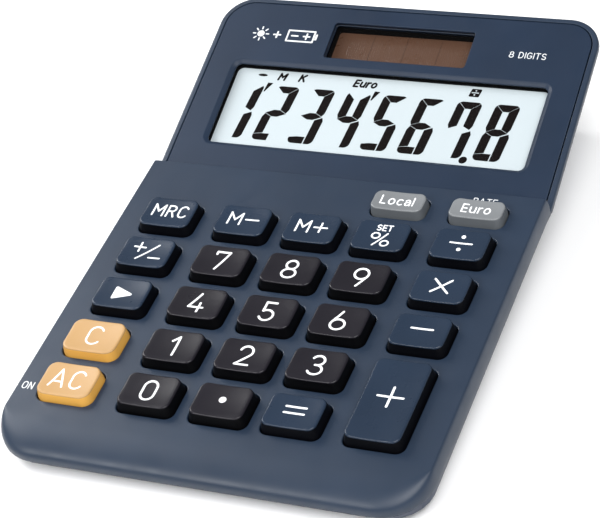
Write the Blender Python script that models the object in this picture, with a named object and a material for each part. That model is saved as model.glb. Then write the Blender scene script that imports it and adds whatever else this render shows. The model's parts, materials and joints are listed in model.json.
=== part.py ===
"""Desk calculator: a sloping keypad housing, a steeper display unit and 26 keys that travel into the deck.

Metres, +Z up, +Y towards the display. The origin is at the centre of the footprint, on the table.
Two empties carry the sloping planes that the pieces lie on: "deck_plane" for the keypad surface, with its
origin at the middle of the front edge, and "display_plane", which starts just behind the keypad housing.
"""

import math

import bmesh
import bpy
from mathutils import Matrix, Vector

# Overall size and the two slopes.
WIDTH = 0.103
LENGTH = 0.147
HEIGHT = 0.0288
DECK_SLOPE = math.radians(4.5)
DISPLAY_TILT = math.radians(12.7)
DISPLAY_SLOPE = DECK_SLOPE + DISPLAY_TILT
GAP = 0.0003

# Keypad housing, in the deck plane: x across, y back from the front edge, z above the surface.
DECK_HALF = WIDTH / 2
DECK_TAPER = 0.0007
DECK_REAR = 0.0942
DECK_SKIN = 0.0018
DECK_DEPTH = 0.0046
LIP_DEPTH = 0.0008
LIP_OUTER = 0.0028
LIP_INNER = 0.0037
EDGE_DROP = 0.0032
SIDE_ROLL = 0.0009
FRONT_ROLL = 0.0090
REAR_ROLL = 0.0006
WALL_HALF = 0.0475
WALL_SKIN = 0.0016
WALL_BOTTOM = -0.0064
WALL_TOP = -0.0008
FRONT_CORNER = 0.0115
REAR_CORNER = 0.0018

# Display unit, in the display plane: y back from the junction, z above the display surface.
JUNCTION = 0.0970
JUNCTION_DROP = 0.0030
DISPLAY_HALF = 0.0499
DISPLAY_FLARE = 0.0008
DISPLAY_CORNER = 0.0085
RIM_DEPTH = 0.0015
RIM_ROUND = 0.0006
RIM_WIDTH = 0.0014
RIM_TO_DECK = 0.0013
TUCK = 0.0030
PANEL_SKIN = 0.0009
PANEL_BED = 0.0012
DISPLAY_DECK = 0.0022

# Where the two planes lie, so that the overall size comes out as stated.
FRONT_Y = EDGE_DROP * math.sin(DECK_SLOPE)
JUNCTION_Y = JUNCTION * math.cos(DECK_SLOPE) + JUNCTION_DROP * math.sin(DECK_SLOPE)
JUNCTION_Z = JUNCTION * math.sin(DECK_SLOPE) - JUNCTION_DROP * math.cos(DECK_SLOPE)
DISPLAY_REACH = LENGTH + FRONT_Y - JUNCTION_Y - RIM_DEPTH * math.sin(DISPLAY_SLOPE)
DISPLAY_LENGTH = DISPLAY_REACH / math.cos(DISPLAY_SLOPE)
RIM_TOP = (DISPLAY_LENGTH - RIM_ROUND) * math.sin(DISPLAY_SLOPE) + RIM_ROUND * (1 - math.cos(DISPLAY_SLOPE))
DECK_Y = -LENGTH / 2 - FRONT_Y
DECK_Z = HEIGHT - JUNCTION_Z - RIM_TOP

# Windows in the display unit.
LCD_HALF = 0.0411
LCD_FRONT = 0.0073
LCD_REAR = 0.0316
LCD_CORNER = 0.0016
SOLAR_HALF = 0.0186
SOLAR_FRONT = 0.0351
SOLAR_REAR = 0.0461
SOLAR_CORNER = 0.0008
WELL_WALL = 0.0012
WELL_BOTTOM = -0.0036
WELL_TOP = -0.0014
WINDOW_LEDGE = 0.0012
WINDOW_SKIN = 0.0005
WINDOW_SEAT = 0.0002
CELL_SKIN = 0.0017
REFLECTOR_SKIN = 0.0004
HOLDER_SKIN = 0.0013
HOLDER_OPENING = (0.0380, 0.0120, 0.0290)
PLATE_CORNER = 0.0013
SOLAR_LAP = 0.0010
SOLAR_SKIN = 0.0012

# Keys: columns across, rows back from the front edge.
COLUMNS = (-0.0369, -0.0176, 0.0, 0.0172, 0.0364)
CLEAR_SHIFT = -0.0009
FIRST_ROW = 0.0192
ROW_PITCH = 0.0137
CURRENCY_ROW = 0.0860
KEY_CLEARANCE = 0.0003
FLANGE_WIDTH = 0.0008
FLANGE_SKIN = 0.0010
KEY_STYLES = {
    "function": {"top": (0.0127, 0.0093), "base": (0.0137, 0.0101), "height": 0.0028, "corner": 0.0018},
    "digit": {"top": (0.0127, 0.0093), "base": (0.0137, 0.0101), "height": 0.0028, "corner": 0.0018},
    "clear": {"top": (0.0133, 0.0096), "base": (0.0138, 0.0101), "height": 0.0024, "corner": 0.0023},
    "currency": {"top": (0.0127, 0.0061), "base": (0.0132, 0.0067), "height": 0.0025, "corner": 0.0018},
}
KEY_EDGE = 0.0004
KEYS = (
    ("key_all_clear", 0, 0, "clear"),
    ("key_0", 1, 0, "digit"),
    ("key_point", 2, 0, "digit"),
    ("key_equals", 3, 0, "function"),
    ("key_clear", 0, 1, "clear"),
    ("key_1", 1, 1, "digit"),
    ("key_2", 2, 1, "digit"),
    ("key_3", 3, 1, "digit"),
    ("key_shift", 0, 2, "function"),
    ("key_4", 1, 2, "digit"),
    ("key_5", 2, 2, "digit"),
    ("key_6", 3, 2, "digit"),
    ("key_minus", 4, 2, "function"),
    ("key_sign", 0, 3, "function"),
    ("key_7", 1, 3, "digit"),
    ("key_8", 2, 3, "digit"),
    ("key_9", 3, 3, "digit"),
    ("key_multiply", 4, 3, "function"),
    ("key_memory_recall", 0, 4, "function"),
    ("key_memory_minus", 1, 4, "function"),
    ("key_memory_plus", 2, 4, "function"),
    ("key_percent", 3, 4, "function"),
    ("key_divide", 4, 4, "function"),
)
CURRENCY_KEYS = (("key_local", 3), ("key_euro", 4))

# Lower case: a tray whose walls lean in towards the table.
FLOOR = 0.0010
FLOOR_SKIN = 0.0016
CASE_WALL = 0.0018
CASE_INSET = 0.0003
SIDE_LEAN = 0.50
FRONT_LEAN = 0.95
REAR_LEAN = 0.21
CASE_CHAMFER = 0.0009
BOTTOM_FRONT_CORNER = 0.0090
BOTTOM_REAR_CORNER = 0.0050

# Stack under the keys, in the deck plane.
SHEET_HALF = 0.0450
SHEET_FRONT = 0.0122
SHEET_REAR = 0.0905
SHEET_TOP = -0.0045
SHEET_SKIN = 0.0007
DOME_TOP = -0.0034
DOME_FOOT_RADIUS = 0.0031
DOME_TOP_RADIUS = 0.0020
DOME_STEPS = 8
SHEET_CORNER = 0.0020
BOARD_TOP = SHEET_TOP - SHEET_SKIN - GAP
BOARD_SKIN = 0.0012
BOARD_BOTTOM = BOARD_TOP - BOARD_SKIN
BOARD_INSET = 0.0005
CHIP_PLACE = (0.0120, 0.0660)
CHIP_SEAL_RADIUS = 0.0066
CHIP_SEAL_SKIN = 0.0014
CAPACITOR_PLACE = (-0.0200, 0.0740)
CAPACITOR_RADIUS = 0.0023
CAPACITOR_LENGTH = 0.0065
CAPACITOR_EDGE = 0.0004
CABLE_HALF = 0.0300
CABLE_SKIN = 0.00025

# Leads, in world coordinates: where each one starts, passes and ends.
WIRE_RADIUS = 0.00045
BOARD_END_Y = 0.085
SOLAR_LEAD_Y = 0.0600
SOLAR_LEAD_BELOW = 0.0085
SOLAR_LEAD_ROUTE = ((0.0190, 0.0400, 0.0085), (0.0230, 0.0240, 0.0065))
SOLAR_LEAD_END = (0.0240, 0.0066)
BATTERY_LEADS = (("battery_wire_minus", -0.0095, -1), ("battery_wire_plus", 0.0045, 1))
BATTERY_LEAD_PASS = (0.0090, 0.0060)
BATTERY_LEAD_END = (0.0100, 0.0062)

# Fixings. Places are in world coordinates.
FRONT_SCREWS = (0.0390, -0.0653)
REAR_SCREWS = (0.0310, 0.0610)
BOSS_RADIUS = 0.0030
POST_RADIUS = 0.0034
SCREW_HEAD_RADIUS = 0.0023
SCREW_HEAD = 0.0011
SCREW_SHANK_RADIUS = 0.0011
SCREW_HOLE_RADIUS = 0.0015
SCREW_POCKET_RADIUS = 0.0027
FRONT_SEAT = 0.0028
REAR_SEAT = 0.0110
POST_ABOVE_SEAT = 0.0015
FRONT_SHANK = 0.0050
REAR_SHANK = 0.0080
FRONT_FEET = (0.0400, -0.0580)
REAR_FEET = (0.0340, 0.0520)
FOOT_RADIUS = 0.0040
FOOT_HEIGHT = 0.0013
FOOT_POCKET = 0.0006

# Battery bay, in world coordinates.
BAY_HALF_X = 0.0160
BAY_Y = (0.0325, 0.0505)
BAY_TOP = 0.0082
COVER_HALF_X = 0.0138
COVER_Y = (0.0343, 0.0487)
COVER_SKIN = 0.0020
CELL_PLACE = (-0.0050, 0.0415)
CELL_RADIUS = 0.0058
CELL_HEIGHT = 0.0031
CELL_BAY_RADIUS = 0.0070
COVER_SCREW_X = 0.0098
COVER_SCREW_SHANK = 0.0045
CONTACT_SKIN = 0.0003

# Label on the underside, in world coordinates.
LABEL_HALF_X = 0.0240
LABEL_Y = (-0.0260, 0.0060)
LABEL_POCKET = 0.0005
LABEL_SKIN = 0.0002

ROUND_STEPS = 16


def clear_scene():
    for item in list(bpy.data.objects):
        bpy.data.objects.remove(item)


def material(name, colour, roughness, metallic=0.0, alpha=1.0):
    made = bpy.data.materials.new(name)
    made.use_nodes = True
    shader = made.node_tree.nodes["Principled BSDF"]
    shader.inputs["Base Color"].default_value = (*colour, 1.0)
    shader.inputs["Roughness"].default_value = roughness
    shader.inputs["Metallic"].default_value = metallic
    shader.inputs["Alpha"].default_value = alpha
    made.diffuse_color = (*colour, alpha)
    return made


def plane_empty(name, location, slope, parent=None):
    empty = bpy.data.objects.new(name, None)
    bpy.context.scene.collection.objects.link(empty)
    empty.parent = parent
    empty.location = location
    empty.rotation_euler = (slope, 0, 0)
    return empty


def add_object(name, mesh, parent=None, location=(0, 0, 0), coat=None):
    made = bpy.data.objects.new(name, mesh)
    bpy.context.scene.collection.objects.link(made)
    made.parent = parent
    made.location = location
    if coat:
        mesh.materials.append(coat)
    return made


def loft_mesh(name, sections):
    """A closed mesh through sections of equal length, anticlockwise from above and capped at both ends."""
    mesh = bpy.data.meshes.new(name)
    shape = bmesh.new()
    rings = [[shape.verts.new(point) for point in section] for section in sections]
    for low, high in zip(rings, rings[1:]):
        for i in range(len(low)):
            j = (i + 1) % len(low)
            shape.faces.new((low[i], low[j], high[j], high[i]))
    shape.faces.new(rings[0][::-1])
    shape.faces.new(rings[-1])
    bmesh.ops.recalc_face_normals(shape, faces=shape.faces)
    shape.to_mesh(mesh)
    shape.free()
    mesh.shade_smooth()
    mesh.set_sharp_from_angle(angle=math.radians(35))
    return mesh


def joined_mesh(name, meshes):
    """One mesh of several closed bodies, for a cutter or for shapes that a union joins."""
    shape = bmesh.new()
    for part in meshes:
        shape.from_mesh(part)
    mesh = bpy.data.meshes.new(name)
    shape.to_mesh(mesh)
    shape.free()
    return mesh


def outline(half, front, rear, front_round, rear_round, steps=3):
    """Points of a rectangle with elliptical corners, anticlockwise from the front left."""
    corners = (
        (-half + front_round[0], front + front_round[1], front_round, 180),
        (half - front_round[0], front + front_round[1], front_round, 270),
        (half - rear_round[0], rear - rear_round[1], rear_round, 0),
        (-half + rear_round[0], rear - rear_round[1], rear_round, 90),
    )
    points = []
    for x, y, (across, along), start in corners:
        for step in range(steps + 1):
            angle = math.radians(start + 90 * step / steps)
            points.append((x + across * math.cos(angle), y + along * math.sin(angle)))
    return points


def raised(points, z):
    return [(x, y, z) for x, y in points]


def box_sections(half, front, rear, low, high, corner, steps=3):
    ring = outline(half, front, rear, (corner, corner), (corner, corner), steps)
    return [raised(ring, low), raised(ring, high)]


def shifted(points, x, y=0.0):
    return [(px + x, py + y, *rest) for px, py, *rest in points]


def circle(x, y, z, radius, steps=ROUND_STEPS):
    angles = (math.tau * step / steps for step in range(steps))
    return [(x + radius * math.cos(angle), y + radius * math.sin(angle), z) for angle in angles]


def rod(x, y, low, high, radius, steps=ROUND_STEPS):
    return loft_mesh("rod", [circle(x, y, low, radius, steps), circle(x, y, high, radius, steps)])


def combine(target, operation, tool):
    """Joins tool to target, or cuts it from target. The tool itself is left out of the model."""
    tool.hide_render = True
    tool.display_type = "WIRE"
    boolean = target.modifiers.new(tool.name, "BOOLEAN")
    boolean.operation = operation
    boolean.object = tool
    boolean.solver = "EXACT"


def key_row(row):
    return FIRST_ROW + ROW_PITCH * row


def key_places():
    """Every key as name, style, place in the deck plane and extra length along the column."""
    for name, column, row, style in KEYS:
        shift = CLEAR_SHIFT if style == "clear" else 0.0
        yield name, style, (COLUMNS[column] + shift, key_row(row)), 0.0
    yield "key_plus", "function", (COLUMNS[4], key_row(0.5)), ROW_PITCH
    for name, column in CURRENCY_KEYS:
        yield name, "currency", (COLUMNS[column], CURRENCY_ROW), 0.0


def key_ring(size, extra, corner, z, steps=2):
    half_y = (size[1] + extra) / 2
    return raised(outline(size[0] / 2, -half_y, half_y, (corner, corner), (corner, corner), steps), z)


def grown(size, by):
    return (size[0] + 2 * by, size[1] + 2 * by)


def make_keys(deck, coats):
    """Hard caps with a flange that holds each one under the deck. Origins lie on the line of travel."""
    flange_top = -DECK_SKIN - GAP
    for name, style, (x, y), extra in key_places():
        form = KEY_STYLES[style]
        height, corner = form["height"], form["corner"]
        flange = grown(form["base"], FLANGE_WIDTH)
        sections = [
            key_ring(flange, extra, corner, flange_top - FLANGE_SKIN),
            key_ring(flange, extra, corner, flange_top),
            key_ring(form["base"], extra, corner, flange_top),
            key_ring(form["base"], extra, corner, 0.0),
            key_ring(form["top"], extra, corner, height - KEY_EDGE),
            key_ring(grown(form["top"], -KEY_EDGE), extra, corner - KEY_EDGE, height),
        ]
        add_object(name, loft_mesh(name, sections), deck, (x, y, 0), coats[style])


def key_hole_cutter(deck):
    holes = []
    for _, style, (x, y), extra in key_places():
        form = KEY_STYLES[style]
        size = grown(form["base"], KEY_CLEARANCE)
        corner = form["corner"] + KEY_CLEARANCE
        sections = [key_ring(size, extra, corner, z) for z in (-2 * DECK_SKIN, DECK_SKIN)]
        holes.append(loft_mesh("hole", [shifted(section, x, y) for section in sections]))
    return add_object("key_hole_cutter", joined_mesh("key_hole_cutter", holes), deck)


def tapered(points):
    """Narrows an outline of the keypad housing towards its rear."""
    narrowed = []
    for x, y in points:
        share = max(0.0, y - FRONT_CORNER) / (DECK_REAR - FRONT_CORNER)
        narrowed.append((x * (1 - DECK_TAPER / DECK_HALF * share), y))
    return narrowed


def deck_ring(inset_side, inset_front, inset_rear, z):
    least = 0.0002
    front_round = (FRONT_CORNER - inset_side, FRONT_CORNER - inset_front)
    rear_round = (max(REAR_CORNER - inset_side, least), max(REAR_CORNER / 3 - inset_rear, least))
    ring = outline(DECK_HALF - inset_side, inset_front, DECK_REAR - inset_rear, front_round, rear_round, 6)
    return raised(tapered(ring), z)


def keypad_shell():
    """The keypad housing as an upturned tray: a long roll in front, small ones elsewhere, a lip inside."""
    lip_bottom = -DECK_DEPTH - LIP_DEPTH
    sections = [
        deck_ring(LIP_INNER, FRONT_ROLL * 0.9, LIP_INNER, -DECK_SKIN),
        deck_ring(LIP_INNER, LIP_INNER + 0.0004, LIP_INNER, lip_bottom),
        deck_ring(LIP_OUTER, LIP_OUTER + 0.0004, LIP_OUTER, lip_bottom),
        deck_ring(LIP_OUTER, LIP_OUTER + 0.0004, LIP_OUTER, -DECK_DEPTH),
        deck_ring(0, 0, 0, -DECK_DEPTH),
    ]
    steps = 5
    for step in range(steps + 1):
        angle = math.pi / 2 * step / steps
        inward = 1 - math.cos(angle)
        fall = EDGE_DROP * (1 - math.sin(angle))
        sections.append(deck_ring(SIDE_ROLL * inward, FRONT_ROLL * inward, REAR_ROLL * inward, -fall))
    return loft_mesh("upper_case", sections)


def flared(points):
    """Widens an outline towards the junction, in step with the distance from the display unit's rear."""
    widened = []
    for x, y in points:
        growth = 1 + DISPLAY_FLARE / DISPLAY_HALF * (DISPLAY_LENGTH - y) / DISPLAY_LENGTH
        widened.append((x * growth, y))
    return widened


def display_outline(inset, steps=5):
    corner = DISPLAY_CORNER - inset
    square = (0.0004, 0.0004)
    ring = outline(DISPLAY_HALF - inset, -TUCK, DISPLAY_LENGTH - inset, square, (corner, corner), steps)
    return flared(ring)


def display_shell_tools(display):
    """Shapes that make the display unit when they join the keypad housing: rim, inner deck and solar well."""
    rim = [
        raised(display_outline(0), -RIM_DEPTH),
        raised(display_outline(0), -RIM_ROUND),
        raised(display_outline(RIM_ROUND * 0.3), -RIM_ROUND * 0.3),
        raised(display_outline(RIM_ROUND), 0),
    ]
    inner = display_outline(RIM_WIDTH + RIM_TO_DECK)
    deck_plate = [raised(inner, -DISPLAY_DECK), raised(inner, -RIM_DEPTH / 2)]
    well = box_sections(
        SOLAR_HALF + WELL_WALL,
        SOLAR_FRONT - WELL_WALL,
        SOLAR_REAR + WELL_WALL,
        WELL_BOTTOM,
        WELL_TOP,
        SOLAR_CORNER,
    )
    shapes = (("display_rim", rim), ("display_deck", deck_plate), ("solar_well", well))
    return [add_object(name, loft_mesh(name, sections), display) for name, sections in shapes]


def junction_wall(deck):
    """The wall that closes the keypad housing's rear and carries the display unit's front edge."""
    rear = DECK_REAR - 0.0002
    sections = box_sections(WALL_HALF, rear - WALL_SKIN, rear, WALL_BOTTOM, WALL_TOP, 0.0002, 1)
    return add_object("junction_wall", loft_mesh("junction_wall", sections), deck)


def screw_places():
    """Case screws as name, x, y, height of the seat and length of the shank."""
    for side, sign in (("left", -1), ("right", 1)):
        yield f"case_screw_front_{side}", sign * FRONT_SCREWS[0], FRONT_SCREWS[1], FRONT_SEAT, FRONT_SHANK
        yield f"case_screw_rear_{side}", sign * REAR_SCREWS[0], REAR_SCREWS[1], REAR_SEAT, REAR_SHANK


def surface_height(y):
    """Height of the casing's top surface over a world y, on the middle line."""
    from_front = y - DECK_Y
    if from_front < JUNCTION_Y:
        return DECK_Z + from_front * math.tan(DECK_SLOPE)
    return DECK_Z + JUNCTION_Z + (from_front - JUNCTION_Y) * math.tan(DISPLAY_SLOPE)


def boss_tool():
    bosses = []
    for _, x, y, seat, _ in screw_places():
        low = seat + POST_ABOVE_SEAT + GAP
        bosses.append(rod(x, y, low, surface_height(y) - 0.0009, BOSS_RADIUS))
    return add_object("screw_bosses", joined_mesh("screw_bosses", bosses))


def boss_hole_tool():
    holes = []
    for _, x, y, seat, shank in screw_places():
        holes.append(rod(x, y, seat, seat + shank + GAP, SCREW_HOLE_RADIUS))
    return add_object("boss_holes", joined_mesh("boss_holes", holes))


def make_upper_case(deck, display, coat):
    """The one moulding that makes the keypad housing and the display unit's frame."""
    case = add_object("upper_case", keypad_shell(), deck, coat=coat)
    for tool in [junction_wall(deck), *display_shell_tools(display), boss_tool()]:
        combine(case, "UNION", tool)
    bed_ring = display_outline(RIM_WIDTH)
    lcd_sections = box_sections(
        LCD_HALF + WINDOW_LEDGE,
        LCD_FRONT - WINDOW_LEDGE,
        LCD_REAR + WINDOW_LEDGE,
        -0.004,
        0.001,
        LCD_CORNER,
    )
    solar_sections = box_sections(SOLAR_HALF, SOLAR_FRONT, SOLAR_REAR, -0.006, 0.001, SOLAR_CORNER)
    behind_wall = DECK_REAR - JUNCTION + GAP
    bed_points = [(x, max(y, behind_wall)) for x, y in bed_ring]
    cuts = (
        ("panel_bed_cutter", [raised(bed_points, -PANEL_BED), raised(bed_points, 0.002)]),
        ("lcd_cutter", lcd_sections),
        ("solar_cutter", solar_sections),
    )
    for name, sections in cuts:
        combine(case, "DIFFERENCE", add_object(name, loft_mesh(name, sections), display))
    combine(case, "DIFFERENCE", key_hole_cutter(deck))
    combine(case, "DIFFERENCE", boss_hole_tool())


def make_display_panel(display, coat):
    """The flush front panel in the display unit, with its two windows."""
    ring = [(x, max(y, DECK_REAR - JUNCTION + 2 * GAP)) for x, y in display_outline(RIM_WIDTH + GAP)]
    panel = add_object(
        "display_panel",
        loft_mesh("display_panel", [raised(ring, -PANEL_SKIN), raised(ring, 0)]),
        display,
        coat=coat,
    )
    bevel = 0.0006
    lcd_ring = outline(LCD_HALF, LCD_FRONT, LCD_REAR, (LCD_CORNER,) * 2, (LCD_CORNER,) * 2)
    wide = outline(
        LCD_HALF + 3 * bevel,
        LCD_FRONT - 3 * bevel,
        LCD_REAR + 3 * bevel,
        (LCD_CORNER + bevel,) * 2,
        (LCD_CORNER + bevel,) * 2,
    )
    lcd_hole = [raised(lcd_ring, -0.003), raised(lcd_ring, -bevel), raised(wide, bevel)]
    solar_hole = box_sections(SOLAR_HALF, SOLAR_FRONT, SOLAR_REAR, -0.003, 0.003, SOLAR_CORNER)
    for name, sections in (("bezel_cutter", lcd_hole), ("solar_slot_cutter", solar_hole)):
        combine(panel, "DIFFERENCE", add_object(name, loft_mesh(name, sections), display))


def make_display_stack(display, coats):
    """The clear windows, the liquid crystal cell and what lies behind it, each a flat plate."""
    ledge = WINDOW_LEDGE - GAP
    window_top = -PANEL_SKIN - GAP - WINDOW_SEAT
    cell_top = -DISPLAY_DECK - GAP
    reflector_top = cell_top - CELL_SKIN - GAP
    holder_top = reflector_top - REFLECTOR_SKIN - GAP
    solar_half = SOLAR_HALF + SOLAR_LAP
    solar_rear = SOLAR_REAR + SOLAR_LAP
    solar_top = WELL_BOTTOM - GAP
    plates = (
        ("lcd_window", LCD_HALF + ledge, LCD_FRONT - ledge, LCD_REAR + ledge, window_top, WINDOW_SKIN),
        ("solar_window", SOLAR_HALF - GAP, SOLAR_FRONT + GAP, SOLAR_REAR - GAP, window_top, WINDOW_SKIN),
        ("lcd_cell", 0.0450, 0.0042, 0.0331, cell_top, CELL_SKIN),
        ("lcd_reflector", 0.0430, 0.0078, 0.0325, reflector_top, REFLECTOR_SKIN),
        ("lcd_holder", 0.0436, 0.0072, 0.0335, holder_top, HOLDER_SKIN),
        ("solar_cell", solar_half, SOLAR_FRONT - 0.0008, solar_rear, solar_top, SOLAR_SKIN),
    )
    for name, half, front, rear, top, skin in plates:
        sections = box_sections(half, front, rear, top - skin, top, PLATE_CORNER, 2)
        add_object(name, loft_mesh(name, sections), display, coat=coats[name])
    opening = box_sections(*HOLDER_OPENING, -0.02, 0.0, 0.0010)
    combine(
        bpy.data.objects["lcd_holder"],
        "DIFFERENCE",
        add_object("holder_opening", loft_mesh("holder_opening", opening), display),
    )


def make_key_mat(deck, coat):
    """The silicone mat with one collapsing dome under each key."""
    bottom = SHEET_TOP - SHEET_SKIN
    sections = box_sections(SHEET_HALF, SHEET_FRONT, SHEET_REAR, bottom, SHEET_TOP, SHEET_CORNER)
    mat = add_object("key_mat", loft_mesh("key_mat", sections), deck, coat=coat)
    domes = []
    for _, _, (x, y), _ in key_places():
        foot = circle(x, y, SHEET_TOP - SHEET_SKIN / 2, DOME_FOOT_RADIUS, DOME_STEPS)
        top = circle(x, y, DOME_TOP, DOME_TOP_RADIUS, DOME_STEPS)
        domes.append(loft_mesh("dome", [foot, top]))
    combine(mat, "UNION", add_object("mat_domes", joined_mesh("mat_domes", domes), deck))


def make_board(deck, coats):
    """The circuit board under the mat, with its sealed chip and its capacitor."""
    board_half = SHEET_HALF - BOARD_INSET
    board_rear = SHEET_REAR - BOARD_INSET
    board = box_sections(board_half, SHEET_FRONT, board_rear, BOARD_BOTTOM, BOARD_TOP, SHEET_CORNER)
    add_object("circuit_board", loft_mesh("circuit_board", board), deck, coat=coats["circuit_board"])
    low = BOARD_BOTTOM - GAP
    steps = 12
    chip_x, chip_y = CHIP_PLACE
    chip = [
        circle(chip_x, chip_y, low - CHIP_SEAL_SKIN, CHIP_SEAL_RADIUS * 0.53, steps),
        circle(chip_x, chip_y, low - CHIP_SEAL_SKIN * 0.57, CHIP_SEAL_RADIUS * 0.88, steps),
        circle(chip_x, chip_y, low, CHIP_SEAL_RADIUS, steps),
    ]
    add_object("chip_seal", loft_mesh("chip_seal", chip), deck, coat=coats["chip_seal"])
    radius = CAPACITOR_RADIUS
    can = [
        circle(0, 0, 0, radius * 0.9, steps),
        circle(0, 0, CAPACITOR_EDGE, radius, steps),
        circle(0, 0, CAPACITOR_LENGTH, radius, steps),
    ]
    capacitor = add_object("capacitor", loft_mesh("capacitor", can), deck, coat=coats["capacitor"])
    capacitor.location = (*CAPACITOR_PLACE, low - radius)
    capacitor.rotation_euler = (0, math.pi / 2, 0)


def display_to_deck(y, z):
    return Matrix.Rotation(DISPLAY_TILT, 3, "X") @ Vector((0, y, z)) + Vector((0, JUNCTION, -JUNCTION_DROP))


def make_display_cable(deck, coat):
    """The flat cable from the front edge of the liquid crystal cell to the underside of the board."""
    half = CABLE_HALF
    skin = CABLE_SKIN
    cell_bottom = -DISPLAY_DECK - GAP - CELL_SKIN
    start = display_to_deck(0.0066, cell_bottom - GAP)
    bend = display_to_deck(0.0040, cell_bottom - 0.0010)
    under_board = BOARD_BOTTOM - GAP
    route = [
        (start.y, start.z),
        (bend.y, bend.z),
        (DECK_REAR + 0.0014, under_board - 0.0012),
        (DECK_REAR - 0.0024, under_board - 0.0008),
        (SHEET_REAR - 0.0035, under_board),
        (SHEET_REAR - 0.0070, under_board),
    ]
    sections = [[(-half, y, z), (half, y, z), (half, y, z - skin), (-half, y, z - skin)] for y, z in route]
    add_object("display_cable", loft_mesh("display_cable", sections), deck, coat=coat)


def make_wire(name, points, coat):
    """A thin round lead along a smooth curve through its route."""
    route = [Vector(point) for point in points]
    padded = [route[0] * 2 - route[1], *route, route[-1] * 2 - route[-2]]
    samples = []
    for before, start, end, after in zip(padded, padded[1:], padded[2:], padded[3:]):
        for step in range(4):
            t = step / 4
            bend = 2 * start - 2 * end + (end - before + after - start) / 2
            sweep = 3 * (end - start) - (2 * (end - before) + after - start) / 2
            samples.append(start + (end - before) / 2 * t + sweep * t**2 + bend * t**3)
    samples.append(route[-1])
    curve = bpy.data.curves.new(name, "CURVE")
    curve.dimensions = "3D"
    curve.bevel_depth = WIRE_RADIUS
    curve.bevel_resolution = 1
    curve.use_fill_caps = True
    spline = curve.splines.new("POLY")
    spline.points.add(len(samples) - 1)
    for point, sample in zip(spline.points, samples):
        point.co = (*sample, 1.0)
    add_object(name, curve, coat=coat)


def make_wires(coat):
    """Leads from the solar cell and from the battery contacts to the board's rear edge."""
    board_y = DECK_Y + BOARD_END_Y
    under_cell = surface_height(SOLAR_LEAD_Y) - SOLAR_LEAD_BELOW
    for name, side in (("solar_wire_minus", -1), ("solar_wire_plus", 1)):
        route = [
            (side * 0.0140, SOLAR_LEAD_Y, under_cell),
            (side * 0.0155, SOLAR_LEAD_Y - 0.0040, under_cell - 0.0040),
        ]
        route += [(side * x, y, z) for x, y, z in SOLAR_LEAD_ROUTE]
        route.append((side * SOLAR_LEAD_END[0], board_y, SOLAR_LEAD_END[1]))
        make_wire(name, route, coat)
    for name, x, side in BATTERY_LEADS:
        route = [
            (x, CELL_PLACE[1] - 0.0060, BAY_TOP + 0.0009),
            (x, BAY_Y[0] - 0.0020, BAY_TOP + 0.0006),
            (side * BATTERY_LEAD_PASS[0], BAY_Y[0] - 0.0080, BATTERY_LEAD_PASS[1]),
            (side * BATTERY_LEAD_END[0], board_y, BATTERY_LEAD_END[1]),
        ]
        make_wire(name, route, coat)


def case_ring(front_half, flank, rear_half, front, rear, front_corner, rear_corner, steps=6):
    """The lower case's outline. The flank gives the half width where the keypad meets the display unit."""
    corners = outline(
        front_half, front, front + 3 * front_corner, (front_corner,) * 2, (front_corner,) * 2, steps
    )[: 2 * steps + 2]
    rear_corners = outline(
        rear_half, rear - 3 * rear_corner, rear, (rear_corner,) * 2, (rear_corner,) * 2, steps
    )[2 * steps + 2 :]
    right = [(half, y) for half, y in flank]
    left = [(-half, y) for half, y in reversed(flank)]
    return [*corners, *right, *rear_corners, *left]


def deck_matrix():
    return Matrix.Translation((0, DECK_Y, DECK_Z)) @ Matrix.Rotation(DECK_SLOPE, 4, "X")


def case_top(inset, below):
    """The lower case's upper edge in world coordinates: it follows the underside of both housings."""
    flat = DECK_DEPTH + below
    steep = RIM_DEPTH + below
    rear = display_to_deck(DISPLAY_LENGTH - inset, -steep).y
    shoulder = DECK_REAR - 0.0012
    junction_half = DISPLAY_HALF + DISPLAY_FLARE - inset
    flank = (
        (DECK_HALF - DECK_TAPER - inset, shoulder),
        (junction_half, shoulder + 0.0010),
        (junction_half, JUNCTION + 0.0005),
    )
    front_corner = FRONT_CORNER - inset
    rear_corner = DISPLAY_CORNER - inset
    ring = case_ring(DECK_HALF - inset, flank, DISPLAY_HALF - inset, inset, rear, front_corner, rear_corner)
    start = JUNCTION_DROP + steep / math.cos(DISPLAY_TILT)
    points = []
    for x, y in ring:
        z = -flat if y <= shoulder else (y - JUNCTION) * math.tan(DISPLAY_TILT) - start
        points.append(tuple(deck_matrix() @ Vector((x, y, z))))
    return points


def case_bottom(inset, z):
    """The same outline at a lower level, drawn in by each wall's lean."""
    front_drop = surface_height(DECK_Y + 0.002) - DECK_DEPTH - z
    middle_drop = surface_height(DECK_Y + DECK_REAR) - DECK_DEPTH - z
    rear_drop = HEIGHT - RIM_DEPTH - z
    middle_half = DECK_HALF - DECK_TAPER - SIDE_LEAN * middle_drop - inset
    middle = DECK_Y + DECK_REAR
    flank = (
        (middle_half, middle - 0.0012),
        (middle_half - 0.0002, middle - 0.0002),
        (middle_half - 0.0008, middle + 0.0033),
    )
    ring = case_ring(
        DECK_HALF - SIDE_LEAN * front_drop - inset,
        flank,
        DISPLAY_HALF - SIDE_LEAN * rear_drop - inset,
        DECK_Y + CASE_INSET + FRONT_LEAN * front_drop + inset,
        LENGTH / 2 - CASE_INSET - REAR_LEAN * rear_drop - inset,
        BOTTOM_FRONT_CORNER - inset,
        BOTTOM_REAR_CORNER - inset,
    )
    return raised(ring, z)


def foot_places():
    for side, sign in (("left", -1), ("right", 1)):
        yield f"foot_front_{side}", sign * FRONT_FEET[0], FRONT_FEET[1]
        yield f"foot_rear_{side}", sign * REAR_FEET[0], REAR_FEET[1]


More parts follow.
